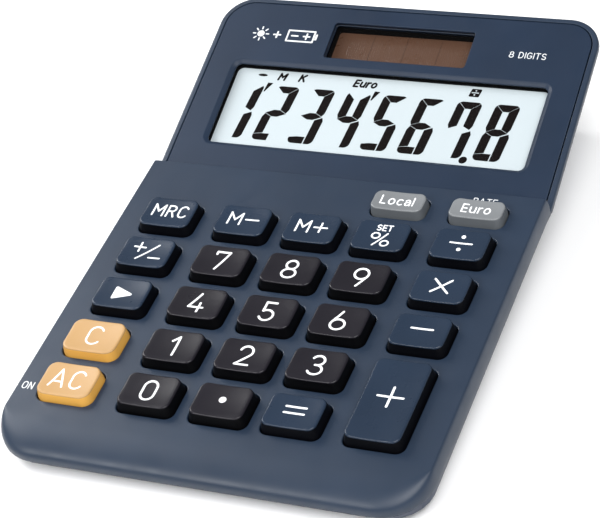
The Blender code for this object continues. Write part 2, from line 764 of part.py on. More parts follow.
def lower_case_tray():
    sections = [
        case_bottom(CASE_CHAMFER, FLOOR),
        case_bottom(0, FLOOR + CASE_CHAMFER),
        case_top(CASE_INSET, GAP),
        case_top(CASE_INSET + CASE_WALL, GAP),
        case_bottom(CASE_WALL * 0.8, FLOOR + FLOOR_SKIN),
    ]
    return loft_mesh("lower_case", sections)


def case_inner_shapes():
    """Screw posts, the battery bay's block and the two ribs that carry the board."""
    base = FLOOR + FLOOR_SKIN / 2
    shapes = [rod(x, y, base, seat + POST_ABOVE_SEAT, POST_RADIUS) for _, x, y, seat, _ in screw_places()]
    shapes.append(loft_mesh("bay", box_sections(BAY_HALF_X, *BAY_Y, base, BAY_TOP, 0.0020)))
    rib_front = DECK_Y + 0.016
    rib_rear = DECK_Y + 0.088
    rib_half = 0.0006
    for x in (-0.0320, 0.0320):
        sections = []
        for y in (rib_front, rib_rear):
            top = (deck_matrix() @ Vector((0, y - DECK_Y, BOARD_BOTTOM - GAP))).z
            left = x - rib_half
            right = x + rib_half
            sections.append([(left, y, base), (right, y, base), (right, y, top), (left, y, top)])
        shapes.append(loft_mesh("rib", sections))
    return shapes


def make_lower_case(coat):
    """The tray that closes the casing from below."""
    case = add_object("lower_case", lower_case_tray(), coat=coat)
    for index, shape in enumerate(case_inner_shapes()):
        combine(case, "UNION", add_object(f"case_inner_{index}", shape))
    cell_x, cell_y = CELL_PLACE
    below = -0.001
    cuts = [rod(x, y, below, seat, SCREW_POCKET_RADIUS) for _, x, y, seat, _ in screw_places()]
    cuts += [rod(x, y, below, seat + 0.004, SCREW_HOLE_RADIUS) for _, x, y, seat, _ in screw_places()]
    cuts += [rod(x, y, below, FLOOR + FOOT_POCKET, FOOT_RADIUS + GAP) for _, x, y in foot_places()]
    cover = box_sections(
        COVER_HALF_X + GAP, COVER_Y[0] - GAP, COVER_Y[1] + GAP, below, FLOOR + COVER_SKIN + GAP, 0.0015
    )
    cuts.append(loft_mesh("cover_pocket", cover))
    cuts.append(rod(cell_x, cell_y, below, BAY_TOP + 0.002, CELL_BAY_RADIUS, 24))
    cuts.append(rod(COVER_SCREW_X, cell_y, below, 0.0078, SCREW_HOLE_RADIUS))
    label = box_sections(LABEL_HALF_X, *LABEL_Y, below, FLOOR + LABEL_POCKET, 0.0015)
    cuts.append(loft_mesh("label_pocket", label))
    for index, shape in enumerate(cuts):
        combine(case, "DIFFERENCE", add_object(f"case_cut_{index}", shape))


def screw_mesh(name, x, y, seat, shank):
    """A pan head screw that is driven in from below."""
    steps = 12
    under = seat - GAP
    sections = [
        circle(x, y, under - SCREW_HEAD, SCREW_HEAD_RADIUS * 0.8, steps),
        circle(x, y, under - SCREW_HEAD * 0.6, SCREW_HEAD_RADIUS, steps),
        circle(x, y, under, SCREW_HEAD_RADIUS, steps),
        circle(x, y, under, SCREW_SHANK_RADIUS, steps),
        circle(x, y, under + shank - 0.0008, SCREW_SHANK_RADIUS, steps),
        circle(x, y, under + shank, SCREW_SHANK_RADIUS * 0.4, steps),
    ]
    return loft_mesh(name, sections)


def make_screws(coat):
    for name, x, y, seat, shank in screw_places():
        add_object(name, screw_mesh(name, x, y, seat, shank), coat=coat)
    seat = FLOOR + 0.0014
    mesh = screw_mesh("cover_screw", COVER_SCREW_X, CELL_PLACE[1], seat, COVER_SCREW_SHANK)
    add_object("cover_screw", mesh, coat=coat)


def make_battery(coats):
    """The removable cover, the button cell and its two spring contacts."""
    cell_x, cell_y = CELL_PLACE
    low = FLOOR
    high = FLOOR + COVER_SKIN
    cover_form = box_sections(COVER_HALF_X, *COVER_Y, low, high, 0.0012)
    cover = add_object("battery_cover", loft_mesh("battery_cover", cover_form), coat=coats["lower_case"])
    cuts = (
        rod(COVER_SCREW_X, cell_y, 0, high + 0.001, SCREW_HOLE_RADIUS),
        rod(COVER_SCREW_X, cell_y, 0, low + 0.0014, SCREW_POCKET_RADIUS),
    )
    for index, shape in enumerate(cuts):
        combine(cover, "DIFFERENCE", add_object(f"cover_cut_{index}", shape))
    bottom = high + GAP
    top = bottom + CELL_HEIGHT
    step = CELL_HEIGHT * 0.75
    cell = [
        circle(cell_x, cell_y, bottom, CELL_RADIUS - 0.0003, 24),
        circle(cell_x, cell_y, bottom + 0.0003, CELL_RADIUS, 24),
        circle(cell_x, cell_y, bottom + step, CELL_RADIUS, 24),
        circle(cell_x, cell_y, bottom + step, CELL_RADIUS * 0.84, 24),
        circle(cell_x, cell_y, top, CELL_RADIUS * 0.80, 24),
    ]
    add_object("button_cell", loft_mesh("button_cell", cell), coat=coats["metal"])
    tab_half = 0.0020
    rise = BAY_TOP + 0.0002
    skin = CONTACT_SKIN
    over = top + GAP
    minus_route = (
        (0.0030, over + skin),
        (-0.0061, over + skin),
        (-0.0061, rise),
        (-0.0058, rise),
        (-0.0058, over + 2 * skin),
        (0.0030, over + 2 * skin),
    )
    minus = [[(cell_x + x, cell_y + y, z) for y, z in minus_route] for x in (tab_half, -tab_half)]
    add_object("contact_minus", loft_mesh("contact_minus", minus), coat=coats["metal"])
    side = cell_x + CELL_RADIUS + GAP
    plus = box_sections(skin / 2, cell_y - tab_half, cell_y + tab_half, bottom, rise, 0.0001, 1)
    plus = [shifted(section, side + skin / 2) for section in plus]
    add_object("contact_plus", loft_mesh("contact_plus", plus), coat=coats["metal"])


def make_feet(coat):
    for name, x, y in foot_places():
        sections = [
            circle(x, y, 0, FOOT_RADIUS - 0.0003, 20),
            circle(x, y, 0.0003, FOOT_RADIUS, 20),
            circle(x, y, FOOT_HEIGHT, FOOT_RADIUS, 20),
        ]
        add_object(name, loft_mesh(name, sections), coat=coat)


def make_label(coat):
    edge = GAP + 0.0001
    sections = box_sections(
        LABEL_HALF_X - edge,
        LABEL_Y[0] + edge,
        LABEL_Y[1] - edge,
        FLOOR + LABEL_POCKET - GAP - LABEL_SKIN,
        FLOOR + LABEL_POCKET - GAP,
        0.0012,
    )
    add_object("rating_label", loft_mesh("rating_label", sections), coat=coat)


def make_calculator():
    clear_scene()
    deck = plane_empty("deck_plane", (0, DECK_Y, DECK_Z), DECK_SLOPE)
    display = plane_empty("display_plane", (0, JUNCTION, -JUNCTION_DROP), DISPLAY_TILT, deck)
    navy = material("navy_case", (0.035, 0.055, 0.105), 0.42)
    grey = material("grey_cap", (0.17, 0.18, 0.20), 0.38)
    clear = material("clear_window", (0.85, 0.90, 0.90), 0.05, alpha=0.2)
    metal = material("plated_steel", (0.62, 0.62, 0.60), 0.30, 1.0)
    rubber = material("rubber_foot", (0.03, 0.03, 0.03), 0.80)
    silicone = material("key_mat", (0.55, 0.56, 0.54), 0.60)
    key_coats = {
        "function": material("function_cap", (0.030, 0.045, 0.085), 0.36),
        "digit": material("digit_cap", (0.042, 0.040, 0.048), 0.36),
        "clear": material("clear_cap", (0.85, 0.55, 0.18), 0.40),
        "currency": grey,
    }
    stack_coats = {
        "lcd_window": clear,
        "solar_window": clear,
        "lcd_cell": material("lcd_glass", (0.70, 0.76, 0.74), 0.20),
        "lcd_reflector": material("lcd_reflector", (0.75, 0.76, 0.74), 0.35, 0.3),
        "lcd_holder": material("lcd_holder", (0.03, 0.03, 0.03), 0.60),
        "solar_cell": material("solar_cell", (0.10, 0.055, 0.035), 0.20),
    }
    board_coats = {
        "circuit_board": material("circuit_board", (0.08, 0.20, 0.09), 0.45),
        "chip_seal": material("chip_seal", (0.01, 0.01, 0.01), 0.30),
        "capacitor": material("capacitor", (0.05, 0.06, 0.12), 0.35),
    }
    make_upper_case(deck, display, navy)
    make_display_panel(display, navy)
    make_display_stack(display, stack_coats)
    make_keys(deck, key_coats)
    make_key_mat(deck, silicone)
    make_board(deck, board_coats)
    make_display_cable(deck, material("display_cable", (0.60, 0.35, 0.10), 0.40))
    make_wires(material("wire_sleeve", (0.30, 0.02, 0.02), 0.50))
    make_lower_case(material("lower_case", (0.030, 0.045, 0.085), 0.50))
    make_battery({"lower_case": bpy.data.materials["lower_case"], "metal": metal})
    make_screws(metal)
    make_feet(rubber)
    make_label(material("label", (0.60, 0.61, 0.62), 0.50))


make_calculator()
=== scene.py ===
"""Looks of the desk calculator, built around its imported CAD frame.

Metres. Two sloping planes hold nearly everything: DECK, the keypad's surface, with y back from its front
edge, and DISPLAY, the display unit's surface. Both are read from the frame, as is the place of each piece.
"""

import json
import math

import bmesh
import bpy
from mathutils import Matrix, Quaternion, Vector


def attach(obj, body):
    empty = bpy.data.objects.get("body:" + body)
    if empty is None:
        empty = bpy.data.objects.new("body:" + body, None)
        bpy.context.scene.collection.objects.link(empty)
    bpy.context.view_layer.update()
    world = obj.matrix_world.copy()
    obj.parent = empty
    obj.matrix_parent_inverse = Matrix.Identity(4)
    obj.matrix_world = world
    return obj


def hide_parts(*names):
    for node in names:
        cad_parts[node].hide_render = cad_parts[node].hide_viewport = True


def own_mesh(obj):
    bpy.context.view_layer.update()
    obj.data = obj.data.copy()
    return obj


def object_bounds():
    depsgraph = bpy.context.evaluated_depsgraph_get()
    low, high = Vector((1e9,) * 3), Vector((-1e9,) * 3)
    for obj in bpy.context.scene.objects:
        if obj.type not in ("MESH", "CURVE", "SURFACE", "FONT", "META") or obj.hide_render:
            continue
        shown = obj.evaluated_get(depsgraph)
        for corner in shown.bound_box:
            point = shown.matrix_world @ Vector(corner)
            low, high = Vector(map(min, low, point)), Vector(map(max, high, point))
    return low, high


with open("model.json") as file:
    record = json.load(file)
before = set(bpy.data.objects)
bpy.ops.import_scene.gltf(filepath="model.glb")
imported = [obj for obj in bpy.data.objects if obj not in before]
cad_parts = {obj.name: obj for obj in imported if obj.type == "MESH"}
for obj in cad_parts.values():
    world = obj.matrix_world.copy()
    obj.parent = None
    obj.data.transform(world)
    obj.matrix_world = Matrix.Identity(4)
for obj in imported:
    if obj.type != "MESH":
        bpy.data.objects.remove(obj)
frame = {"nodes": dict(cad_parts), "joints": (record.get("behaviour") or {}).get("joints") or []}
CAD_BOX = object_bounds()
NODES = frame["nodes"]
MM = 0.001

# Keypad housing, as in the CAD: its edges roll down over these distances.
DECK_REAR = 0.0942
DECK_SKIN = 0.0018
DECK_DEPTH = 0.0046
EDGE_DROP = 0.0032
SIDE_ROLL = 0.0009
FRONT_ROLL = 0.0090
REAR_ROLL = 0.0006
FRONT_CORNER = 0.0115
DECK_TAPER = 0.0007
REAR_CORNER = 0.0018
LIP_DEPTH = 0.0008
LIP_OUTER = 0.0028
LIP_INNER = 0.0037
LEAST_CORNER = 0.0002
SHELL_EDGE = 0.0003
ROLL_STEPS = 18
HOLE_ROUND = 0.00030

# Display unit.
PANEL_FRONT = -0.0022
DISPLAY_HALF = 0.0499
DISPLAY_FLARE = 0.0008
DISPLAY_CORNER = 0.0085
RIM_DEPTH = 0.0015
RIM_ROUND = 0.0006
RIM_WIDTH = 0.0014
GAP = 0.0003
TUCK = 0.0030
PANEL_SKIN = 0.0009
PANEL_BED = 0.0012
DISPLAY_DECK = 0.0022
WINDOW_LEDGE = 0.0009
LCD_CORNER = 0.0016
SOLAR_CORNER = 0.0008
BEZEL_DROP = 0.0006
BEZEL_WIDTH = 0.0011
LCD_LINING = 0.0007
SOLAR_LINING = 0.0002
SOLAR_FIELDS = (-0.0088, 0.0002, 0.0092)
SOLAR_BAR_WIDTH = 0.000108
SOLAR_BAR_MARGIN = 0.0016
SOLAR_BAR_LEAN = 0.00002

# Keys.
KEY_DISH = 0.00055
KEY_EDGE = 0.00045
FLANGE_WIDTH = 0.0008
FLANGE_SKIN = 0.0010
KEY_CLEARANCE = 0.0003
KEY_TOPS = {
    "function_key": (0.0127, 0.0093),
    "digit_key": (0.0127, 0.0093),
    "clear_key": (0.0133, 0.0096),
    "currency_key": (0.0127, 0.0061),
}
KEY_CORNERS = {"function_key": 0.0018, "digit_key": 0.0018, "clear_key": 0.0023, "currency_key": 0.0018}
PLUS_KEY = "key_plus"
ROW_PITCH = 0.0137

# Print stands this far above what it is printed on, and goes a little into it. Each next stroke of the
# same print lies one layer higher.
INK_RISE = 0.00002
INK_SINK = 0.00003
INK_LAYER = 0.0000008

# Silicone mat and the domes on it.
DOME_SEAM = 0.00002
DOME_FOOT_RADIUS = 0.0031
DOME_TOP_RADIUS = 0.0020

# Screws, from below.
SCREW_HEAD = 0.0011
SCREW_HEAD_RADIUS = 0.0023
SCREW_SHANK_RADIUS = 0.0011
SCREW_CORE = 0.82
SCREW_TURNS = 9
SCREW_POINT = 0.0009
SCREW_TIP = 0.0008

# Feet and label.
FOOT_ROUND = 0.0003
FOOT_FLAT_INSET = 0.0014
LABEL_MARGIN = 0.0014
LABEL_ROWS = (0.030, 0.036, 0.024)
LABEL_ROW_LEFT = 0.0045
LABEL_FIRST_ROW = 0.0060
LABEL_ROW_PITCH = 0.0032
LABEL_ROW_WIDTH = 0.0009


# ---------------------------------------------------------------- planes and places


def joined_box(points):
    low = Vector(min(p[i] for p in points) for i in range(3))
    high = Vector(max(p[i] for p in points) for i in range(3))
    return low, high


def local_box(node, plane):
    """Lowest and highest corner of a node, measured along the axes of a plane."""
    inverse = plane.inverted()
    return joined_box([inverse @ v.co for v in NODES[node].data.vertices])


def deck_plane():
    """The keypad's surface: square to the keys' travel, with its origin at the middle of the front edge."""
    travel = Vector(frame["joints"][0]["axis"])
    turn = Matrix.Rotation(math.atan2(travel.y, -travel.z), 4, "X")
    inverse = turn.inverted()
    points = [inverse @ v.co for v in NODES["upper_case"].data.vertices]
    front = min(p.y for p in points)
    top = max(p.z for p in points if p.y < front + DECK_REAR - DECK_DEPTH)
    return turn @ Matrix.Translation((0, front, top))


def display_plane():
    """The display panel's surface."""
    panel = NODES["display_panel"].data
    face = max((p for p in panel.polygons if p.normal.z > 0), key=lambda p: p.area)
    turn = Matrix.Rotation(math.atan2(-face.normal.y, face.normal.z), 4, "X")
    low, high = local_box("display_panel", turn)
    return turn @ Matrix.Translation((0, low.y - PANEL_FRONT, high.z))


DECK = deck_plane()
DISPLAY = display_plane()
WORLD = Matrix.Identity(4)
DECK_HALF = CAD_BOX[1].x
DISPLAY_LENGTH = local_box("display_panel", DISPLAY)[1].y + RIM_WIDTH + GAP


# ---------------------------------------------------------------- mesh building


def new_object(name, mesh, *coats):
    made = bpy.data.objects.new(name, mesh)
    bpy.context.scene.collection.objects.link(made)
    for coat in coats:
        mesh.materials.append(coat)
    return made


def smoothed(mesh, degrees=35):
    mesh.shade_smooth()
    mesh.set_sharp_from_angle(angle=math.radians(degrees))
    return mesh


def add_loft(shape, sections, hollow):
    """Adds a body through rings of equal length: capped at both ends, or hollow, its last ring joined to
    its first."""
    rings = [[shape.verts.new(point) for point in section] for section in sections]
    for low, high in zip(rings, [*rings[1:], rings[0]] if hollow else rings[1:]):
        for i in range(len(low)):
            j = (i + 1) % len(low)
            shape.faces.new((low[i], low[j], high[j], high[i]))
    if not hollow:
        shape.faces.new(rings[0][::-1])
        shape.faces.new(rings[-1])


def mesh_of(name, bodies, plane=WORLD, degrees=35, hollow=False):
    """One mesh of several closed bodies, each a list of rings."""
    shape = bmesh.new()
    for sections in bodies:
        add_loft(shape, sections, hollow)
    bmesh.ops.recalc_face_normals(shape, faces=shape.faces)
    mesh = bpy.data.meshes.new(name)
    shape.to_mesh(mesh)
    shape.free()
    mesh.transform(plane)
    return smoothed(mesh, degrees)


def cast(name, bodies, plane, coat, **how):
    """One object of several closed bodies, of one material."""
    return new_object(name, mesh_of(name, bodies, plane, **how), coat)


def rounding(steps, first=1):
    """How far in and how far down a rounded edge lies at each step, as shares of its radius, going up."""
    angles = (math.pi / 2 * step / steps for step in range(first, steps + 1))
    return [(1 - math.cos(angle), 1 - math.sin(angle)) for angle in angles]


def outline(half, front, rear, front_round, rear_round, steps=8, side_steps=1):
    """Points of a rectangle with elliptical corners, anticlockwise from the front left."""
    corners = (
        (-half + front_round[0], front + front_round[1], front_round, 180),
        (half - front_round[0], front + front_round[1], front_round, 270),
        (half - rear_round[0], rear - rear_round[1], rear_round, 0),
        (-half + rear_round[0], rear - rear_round[1], rear_round, 90),
    )
    bends = []
    for x, y, (across, along), start in corners:
        angles = [math.radians(start + 90 * step / steps) for step in range(steps + 1)]
        bends.append([(x + across * math.cos(angle), y + along * math.sin(angle)) for angle in angles])
    points = []
    for bend, following in zip(bends, [*bends[1:], bends[0]]):
        points += bend
        start, end = Vector(bend[-1]), Vector(following[0])
        points += [tuple(start.lerp(end, step / side_steps)) for step in range(1, side_steps)]
    return points


def block(half, front, rear, corner, steps=8, side_steps=1):
    return outline(half, front, rear, (corner, corner), (corner, corner), steps, side_steps)


def raised(points, z):
    return [(x, y, z) for x, y in points]


def circle(x, y, radius, steps=32):
    angles = (math.tau * step / steps for step in range(steps))
    return [(x + radius * math.cos(angle), y + radius * math.sin(angle)) for angle in angles]


def apply_modifiers(target):
    graph = bpy.context.evaluated_depsgraph_get()
    mesh = bpy.data.meshes.new_from_object(target.evaluated_get(graph))
    target.modifiers.clear()
    old = target.data
    target.data = mesh
    bpy.data.meshes.remove(old)


def combine(target, operation, tool_mesh):
    """Joins a mesh to target or cuts it away, for good."""
    tool = new_object("tool", tool_mesh)
    boolean = target.modifiers.new("cut", "BOOLEAN")
    boolean.operation = operation
    boolean.object = tool
    boolean.solver = "EXACT"
    apply_modifiers(target)
    bpy.data.objects.remove(tool)
    smoothed(target.data)


def level_normals(target, *planes):
    """Points that lie on one of these planes take its normal, so that flat faces shade flat."""
    normals = []
    for vertex in target.data.vertices:
        normal = Vector((0, 0, 0))
        for plane in planes:
            if abs((plane.inverted() @ vertex.co).z) < 0.000002:
                normal = plane.to_3x3() @ Vector((0, 0, 1))
        normals.append(normal)
    target.data.normals_split_custom_set_from_vertices(normals)


def keep(piece, body, slot, *nodes):
    """A piece moves with a body and may take the place of CAD nodes. Its slot is not used."""
    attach(piece, body)
    if nodes:
        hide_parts(*nodes)
    return piece


# ---------------------------------------------------------------- materials


def links_and_nodes(name):
    made = bpy.data.materials.new(name)
    made.use_nodes = True
    tree = made.node_tree
    return made, tree, tree.nodes["Principled BSDF"]


def noise(tree, size, detail=3.0, seed=0.0):
    """Noise with features of about the given size, fixed to the object."""
    place = tree.nodes.new("ShaderNodeTexCoord")
    texture = tree.nodes.new("ShaderNodeTexNoise")
    texture.noise_dimensions = "4D"
    texture.inputs["W"].default_value = seed
    texture.inputs["Scale"].default_value = 1 / size
    texture.inputs["Detail"].default_value = detail
    tree.links.new(place.outputs["Object"], texture.inputs["Vector"])
    return texture.outputs["Fac"]


def ranged(tree, source, low, high):
    node = tree.nodes.new("ShaderNodeMapRange")
    node.inputs["From Min"].default_value = 0.3
    node.inputs["From Max"].default_value = 0.7
    node.inputs["To Min"].default_value = low
    node.inputs["To Max"].default_value = high
    tree.links.new(source, node.inputs["Value"])
    return node.outputs["Result"]


def mixed(tree, source, first, second):
    node = tree.nodes.new("ShaderNodeMix")
    node.data_type = "RGBA"
    node.inputs["A"].default_value = (*first, 1)
    node.inputs["B"].default_value = (*second, 1)
    tree.links.new(source, node.inputs["Factor"])
    return node.outputs["Result"]


def bumped(tree, shader, source, depth, strength=1.0):
    node = tree.nodes.new("ShaderNodeBump")
    node.inputs["Strength"].default_value = strength
    node.inputs["Distance"].default_value = depth
    tree.links.new(source, node.inputs["Height"])
    tree.links.new(node.outputs["Normal"], shader.inputs["Normal"])


def moulded(
    name, colour, roughness, grain=0.00022, depth=0.000006, spread=0.10, seed=0.0, gloss=0.5
):
    """Moulded plastic: a fine spark-eroded grain, and slow shifts in shade and gloss across it."""
    made, tree, shader = links_and_nodes(name)
    clouds = noise(tree, 0.018, 4.0, seed)
    fine = noise(tree, grain, 2.0, seed + 1)
    tint = mixed(
        tree,
        ranged(tree, clouds, 0.0, 1.0),
        [c * (1 - spread) for c in colour],
        [c * (1 + spread) for c in colour],
    )
    tree.links.new(tint, shader.inputs["Base Color"])
    handled = noise(tree, 0.006, 5.0, seed + 2)
    tree.links.new(
        ranged(tree, handled, roughness * 0.90, roughness * 1.12), shader.inputs["Roughness"]
    )
    bumped(tree, shader, fine, depth)
    shader.inputs["Specular IOR Level"].default_value = gloss
    return made


def ink(name, colour, roughness=0.5, seed=0.0, gloss=0.25):
    """Printed ink: slightly uneven cover."""
    made, tree, shader = links_and_nodes(name)
    cover = ranged(tree, noise(tree, 0.0004, 3.0, seed), 0.0, 1.0)
    tree.links.new(mixed(tree, cover, [c * 0.95 for c in colour], colour), shader.inputs["Base Color"])
    shader.inputs["Roughness"].default_value = roughness
    shader.inputs["Specular IOR Level"].default_value = gloss
    return made


def clear_plastic(name):
    """Clear acrylic with faint waviness. What lies behind shows through, and lights still glint on it."""
    made, tree, shader = links_and_nodes(name)
    shader.inputs["Base Color"].default_value = (0.02, 0.02, 0.02, 1)
    shader.inputs["Roughness"].default_value = 0.04
    shader.inputs["Alpha"].default_value = 0.04
    shader.inputs["Specular IOR Level"].default_value = 0.08
    bumped(tree, shader, noise(tree, 0.004, 2.0), 0.000004)
    return made


def metal(name, colour, roughness, scratch=0.0003, seed=0.0):
    """Metal with fine marks that shift its shade and its gloss."""
    made, tree, shader = links_and_nodes(name)
    marks = noise(tree, scratch, 6.0, seed)
    tone = mixed(tree, marks, [c * 0.86 for c in colour], colour)
    tree.links.new(tone, shader.inputs["Base Color"])
    tree.links.new(ranged(tree, marks, roughness * 0.8, roughness * 1.3), shader.inputs["Roughness"])
    shader.inputs["Metallic"].default_value = 1.0
    bumped(tree, shader, marks, 0.000004)
    return made


def striped(name, colour, dark, pitch, roughness, seed=0.0):
    """Fine parallel bands across the piece's width, as on a printed circuit or a thin solar film."""
    made, tree, shader = links_and_nodes(name)
    place = tree.nodes.new("ShaderNodeTexCoord")
    wave = tree.nodes.new("ShaderNodeTexWave")
    wave.inputs["Scale"].default_value = 0.314 / pitch
    wave.inputs["Distortion"].default_value = 0.4
    tree.links.new(place.outputs["Object"], wave.inputs["Vector"])
    bands = mixed(tree, wave.outputs["Fac"], dark, colour)
    tree.links.new(bands, shader.inputs["Base Color"])
    marks = noise(tree, 0.003, 4.0, seed)
    tree.links.new(ranged(tree, marks, roughness * 0.85, roughness * 1.2), shader.inputs["Roughness"])
    bumped(tree, shader, wave.outputs["Fac"], 0.00001)
    return made


def make_materials():
    white = (0.82, 0.84, 0.86)
    fine = 0.00012
    return {
        "case": moulded("case_navy", (0.0125, 0.024, 0.046), 0.43, seed=1, gloss=0.40),
        "panel": moulded("panel_navy", (0.011, 0.021, 0.042), 0.42, grain=0.00016, seed=3, gloss=0.22),
        "lower": moulded("lower_case_navy", (0.016, 0.028, 0.058), 0.52, seed=5, gloss=0.40),
        "function_key": moulded("function_key_top", (0.013, 0.024, 0.045), 0.28, fine, seed=7, gloss=0.30),
        # Key sides are the tops' plastic recoloured for how light falls on them: painted shade on the navy,
        # black and grey keys, and painted light on the yellow ones.
        "function_side": moulded(
            "function_key_side", (0.0012, 0.0014, 0.0026), 0.45, fine, seed=8, gloss=0.12
        ),
        "digit_key": moulded("digit_key_top", (0.009, 0.008, 0.012), 0.30, fine, seed=9, gloss=0.28),
        "digit_side": moulded("digit_key_side", (0.0012, 0.0012, 0.0016), 0.45, fine, seed=10, gloss=0.12),
        "clear_key": moulded("clear_key_top", (0.42, 0.250, 0.100), 0.42, fine, spread=0.03, seed=11),
        "clear_side": moulded("clear_key_side", (0.72, 0.38, 0.075), 0.42, fine, spread=0.04, seed=12),
        "currency_key": moulded("currency_key_top", (0.17, 0.18, 0.19), 0.38, fine, seed=13),
        "currency_side": moulded("currency_key_side", (0.11, 0.12, 0.13), 0.38, fine, seed=14),
        "ink": ink("legend_white", white),
        "pale_ink": ink("print_white", [c * 0.78 for c in white], 0.45, 2),
        "window": clear_plastic("clear_window"),
        # Near-black: the LCD holder's own colour, and painted shade where it lines the window recesses.
        "black": moulded("black_holder_and_painted_shade", (0.0010, 0.0010, 0.0014), 0.7, seed=15, gloss=0.05),
        "lcd": moulded("lcd_face", (0.50, 0.565, 0.595), 0.45, 0.0001, 0.000001, 0.012, gloss=0.2),
        "segment": ink("lcd_segment", (0.004, 0.0025, 0.0025), 0.6, 4, gloss=0.05),
        "solar": striped("solar_film", (0.090, 0.045, 0.027), (0.082, 0.041, 0.025), 0.0006, 0.30, 6),
        "solar_line": ink("solar_bar", (0.040, 0.020, 0.014), 0.4, 8),
        "silicone": moulded("mat_silicone", (0.52, 0.54, 0.52), 0.62, seed=16, gloss=0.35),
        "board": striped("board_resin", (0.030, 0.150, 0.050), (0.020, 0.105, 0.036), 0.0016, 0.38, 17),
        "epoxy": moulded("chip_epoxy", (0.012, 0.012, 0.013), 0.22, 0.0009, 0.00002, seed=18),
        "capacitor": moulded("capacitor_sleeve", (0.030, 0.040, 0.110), 0.30, 0.0006, seed=19),
        "cable": striped("cable_film", (0.52, 0.29, 0.07), (0.34, 0.16, 0.03), 0.0010, 0.35, 20),
        "wire": moulded("wire_sleeve", (0.36, 0.020, 0.018), 0.42, 0.0004, seed=21),
        "reflector": metal("reflector_foil", (0.78, 0.79, 0.78), 0.30, 0.0005, 22),
        "plated": metal("plated_steel", (0.66, 0.65, 0.62), 0.26, 0.0003, 23),
        "screw": metal("screw_steel", (0.30, 0.30, 0.32), 0.34, 0.0002, 24),
        "rubber": moulded("foot_rubber", (0.016, 0.016, 0.017), 0.85, 0.0003, 0.00001, seed=25, gloss=0.3),
        "label": moulded("label_film", (0.40, 0.42, 0.45), 0.42, 0.0005, 0.000003, 0.04, seed=26),
    }


# ---------------------------------------------------------------- keypad housing and display unit


def deck_ring(inset_side, inset_front, inset_rear, z, steps=14):
    """The keypad housing's outline, drawn in by these amounts. It narrows towards the rear."""
    front_round = (FRONT_CORNER - inset_side, FRONT_CORNER - inset_front)
    across = max(REAR_CORNER - inset_side, LEAST_CORNER)
    along = max(REAR_CORNER / 3 - inset_rear, LEAST_CORNER)
    half = DECK_HALF - inset_side
    ring = []
    for x, y in outline(half, inset_front, DECK_REAR - inset_rear, front_round, (across, along), steps):
        share = max(0.0, y - FRONT_CORNER) / (DECK_REAR - FRONT_CORNER)
        ring.append((x * (1 - DECK_TAPER / DECK_HALF * share), y, z))
    return ring


def keypad_shell():
    """The keypad housing: a long roll in front, short ones at the sides, a hollow with a lip below."""
    lip_bottom = -DECK_DEPTH - LIP_DEPTH
    edge = SHELL_EDGE
    sections = [
        deck_ring(LIP_INNER, FRONT_ROLL * 0.9, LIP_INNER, -DECK_SKIN),
        deck_ring(LIP_INNER, LIP_INNER + 0.0004, LIP_INNER, lip_bottom),
        deck_ring(LIP_OUTER, LIP_OUTER + 0.0004, LIP_OUTER, lip_bottom),
        deck_ring(LIP_OUTER, LIP_OUTER + 0.0004, LIP_OUTER, -DECK_DEPTH),
        deck_ring(edge, edge, edge, -DECK_DEPTH),
        deck_ring(edge * 0.3, edge * 0.3, edge * 0.3, -DECK_DEPTH + edge * 0.3),
        deck_ring(0, 0, 0, -DECK_DEPTH + edge),
    ]
    for inward, down in rounding(ROLL_STEPS, first=0):
        rolls = (SIDE_ROLL * inward, FRONT_ROLL * inward, REAR_ROLL * inward)
        sections.append(deck_ring(*rolls, -EDGE_DROP * down))
    return sections


def display_outline(inset, steps=14):
    """The display unit's outline, drawn in by inset. It widens towards the keypad."""
    corner = DISPLAY_CORNER - inset
    square = (0.0004, 0.0004)
    ring = outline(DISPLAY_HALF - inset, -TUCK, DISPLAY_LENGTH - inset, square, (corner, corner), steps)
    return [(x * (1 + DISPLAY_FLARE / DISPLAY_HALF * (1 - y / DISPLAY_LENGTH)), y) for x, y in ring]


def display_rim():
    """The display unit's frame: a plate with a rounded edge, and the bed that the front panel lies in."""
    sections = [raised(display_outline(0), -RIM_DEPTH), raised(display_outline(0), -RIM_ROUND)]
    for inward, down in rounding(6):
        sections.append(raised(display_outline(RIM_ROUND * inward), -RIM_ROUND * down))
    edge = 0.00012
    for back, depth in ((edge, 0), (edge * 0.3, edge * 0.3), (0, edge), (0, PANEL_BED)):
        sections.append(raised(display_outline(RIM_WIDTH - back), -depth))
    return sections


def opening(node, ledge):
    """A window opening's half width, front and rear, from the pane that it holds."""
    low, high = local_box(node, DISPLAY)
    return high.x - ledge, low.y + ledge, high.y - ledge


def key_size(node):
    """A key's middle in the deck plane and the size of its base."""
    low, high = local_box(node, DECK)
    middle = (low + high) / 2
    base = (high.x - low.x - 2 * FLANGE_WIDTH, high.y - low.y - 2 * FLANGE_WIDTH)
    return middle, base


def key_names():
    return sorted(name for name in NODES if name.startswith("key_") and name != "key_mat")


def key_slot(name):
    """The finish of a key, by what it does."""
    if name in ("key_clear", "key_all_clear"):
        return "clear_key"
    if name in ("key_local", "key_euro"):
        return "currency_key"
    plain = name.removeprefix("key_")
    return "digit_key" if plain.isdigit() or plain == "point" else "function_key"


def hole_sections(name):
    """A key's hole in the deck, with rounded upper edges."""
    middle, base = key_size(name)
    corner = KEY_CORNERS[key_slot(name)] + KEY_CLEARANCE
    half_x = base[0] / 2 + KEY_CLEARANCE
    half_y = base[1] / 2 + KEY_CLEARANCE
    levels = [(0.0, -2 * DECK_SKIN), (0.0, -HOLE_ROUND)]
    levels += [(HOLE_ROUND * inward, -HOLE_ROUND * down) for inward, down in rounding(4)]
    levels.append((HOLE_ROUND * 1.02, 0.001))
    return [
        [
            (x + middle.x, y + middle.y, z)
            for x, y in block(half_x + out, -half_y - out, half_y + out, corner + out, 6)
        ]
        for out, z in levels
    ]


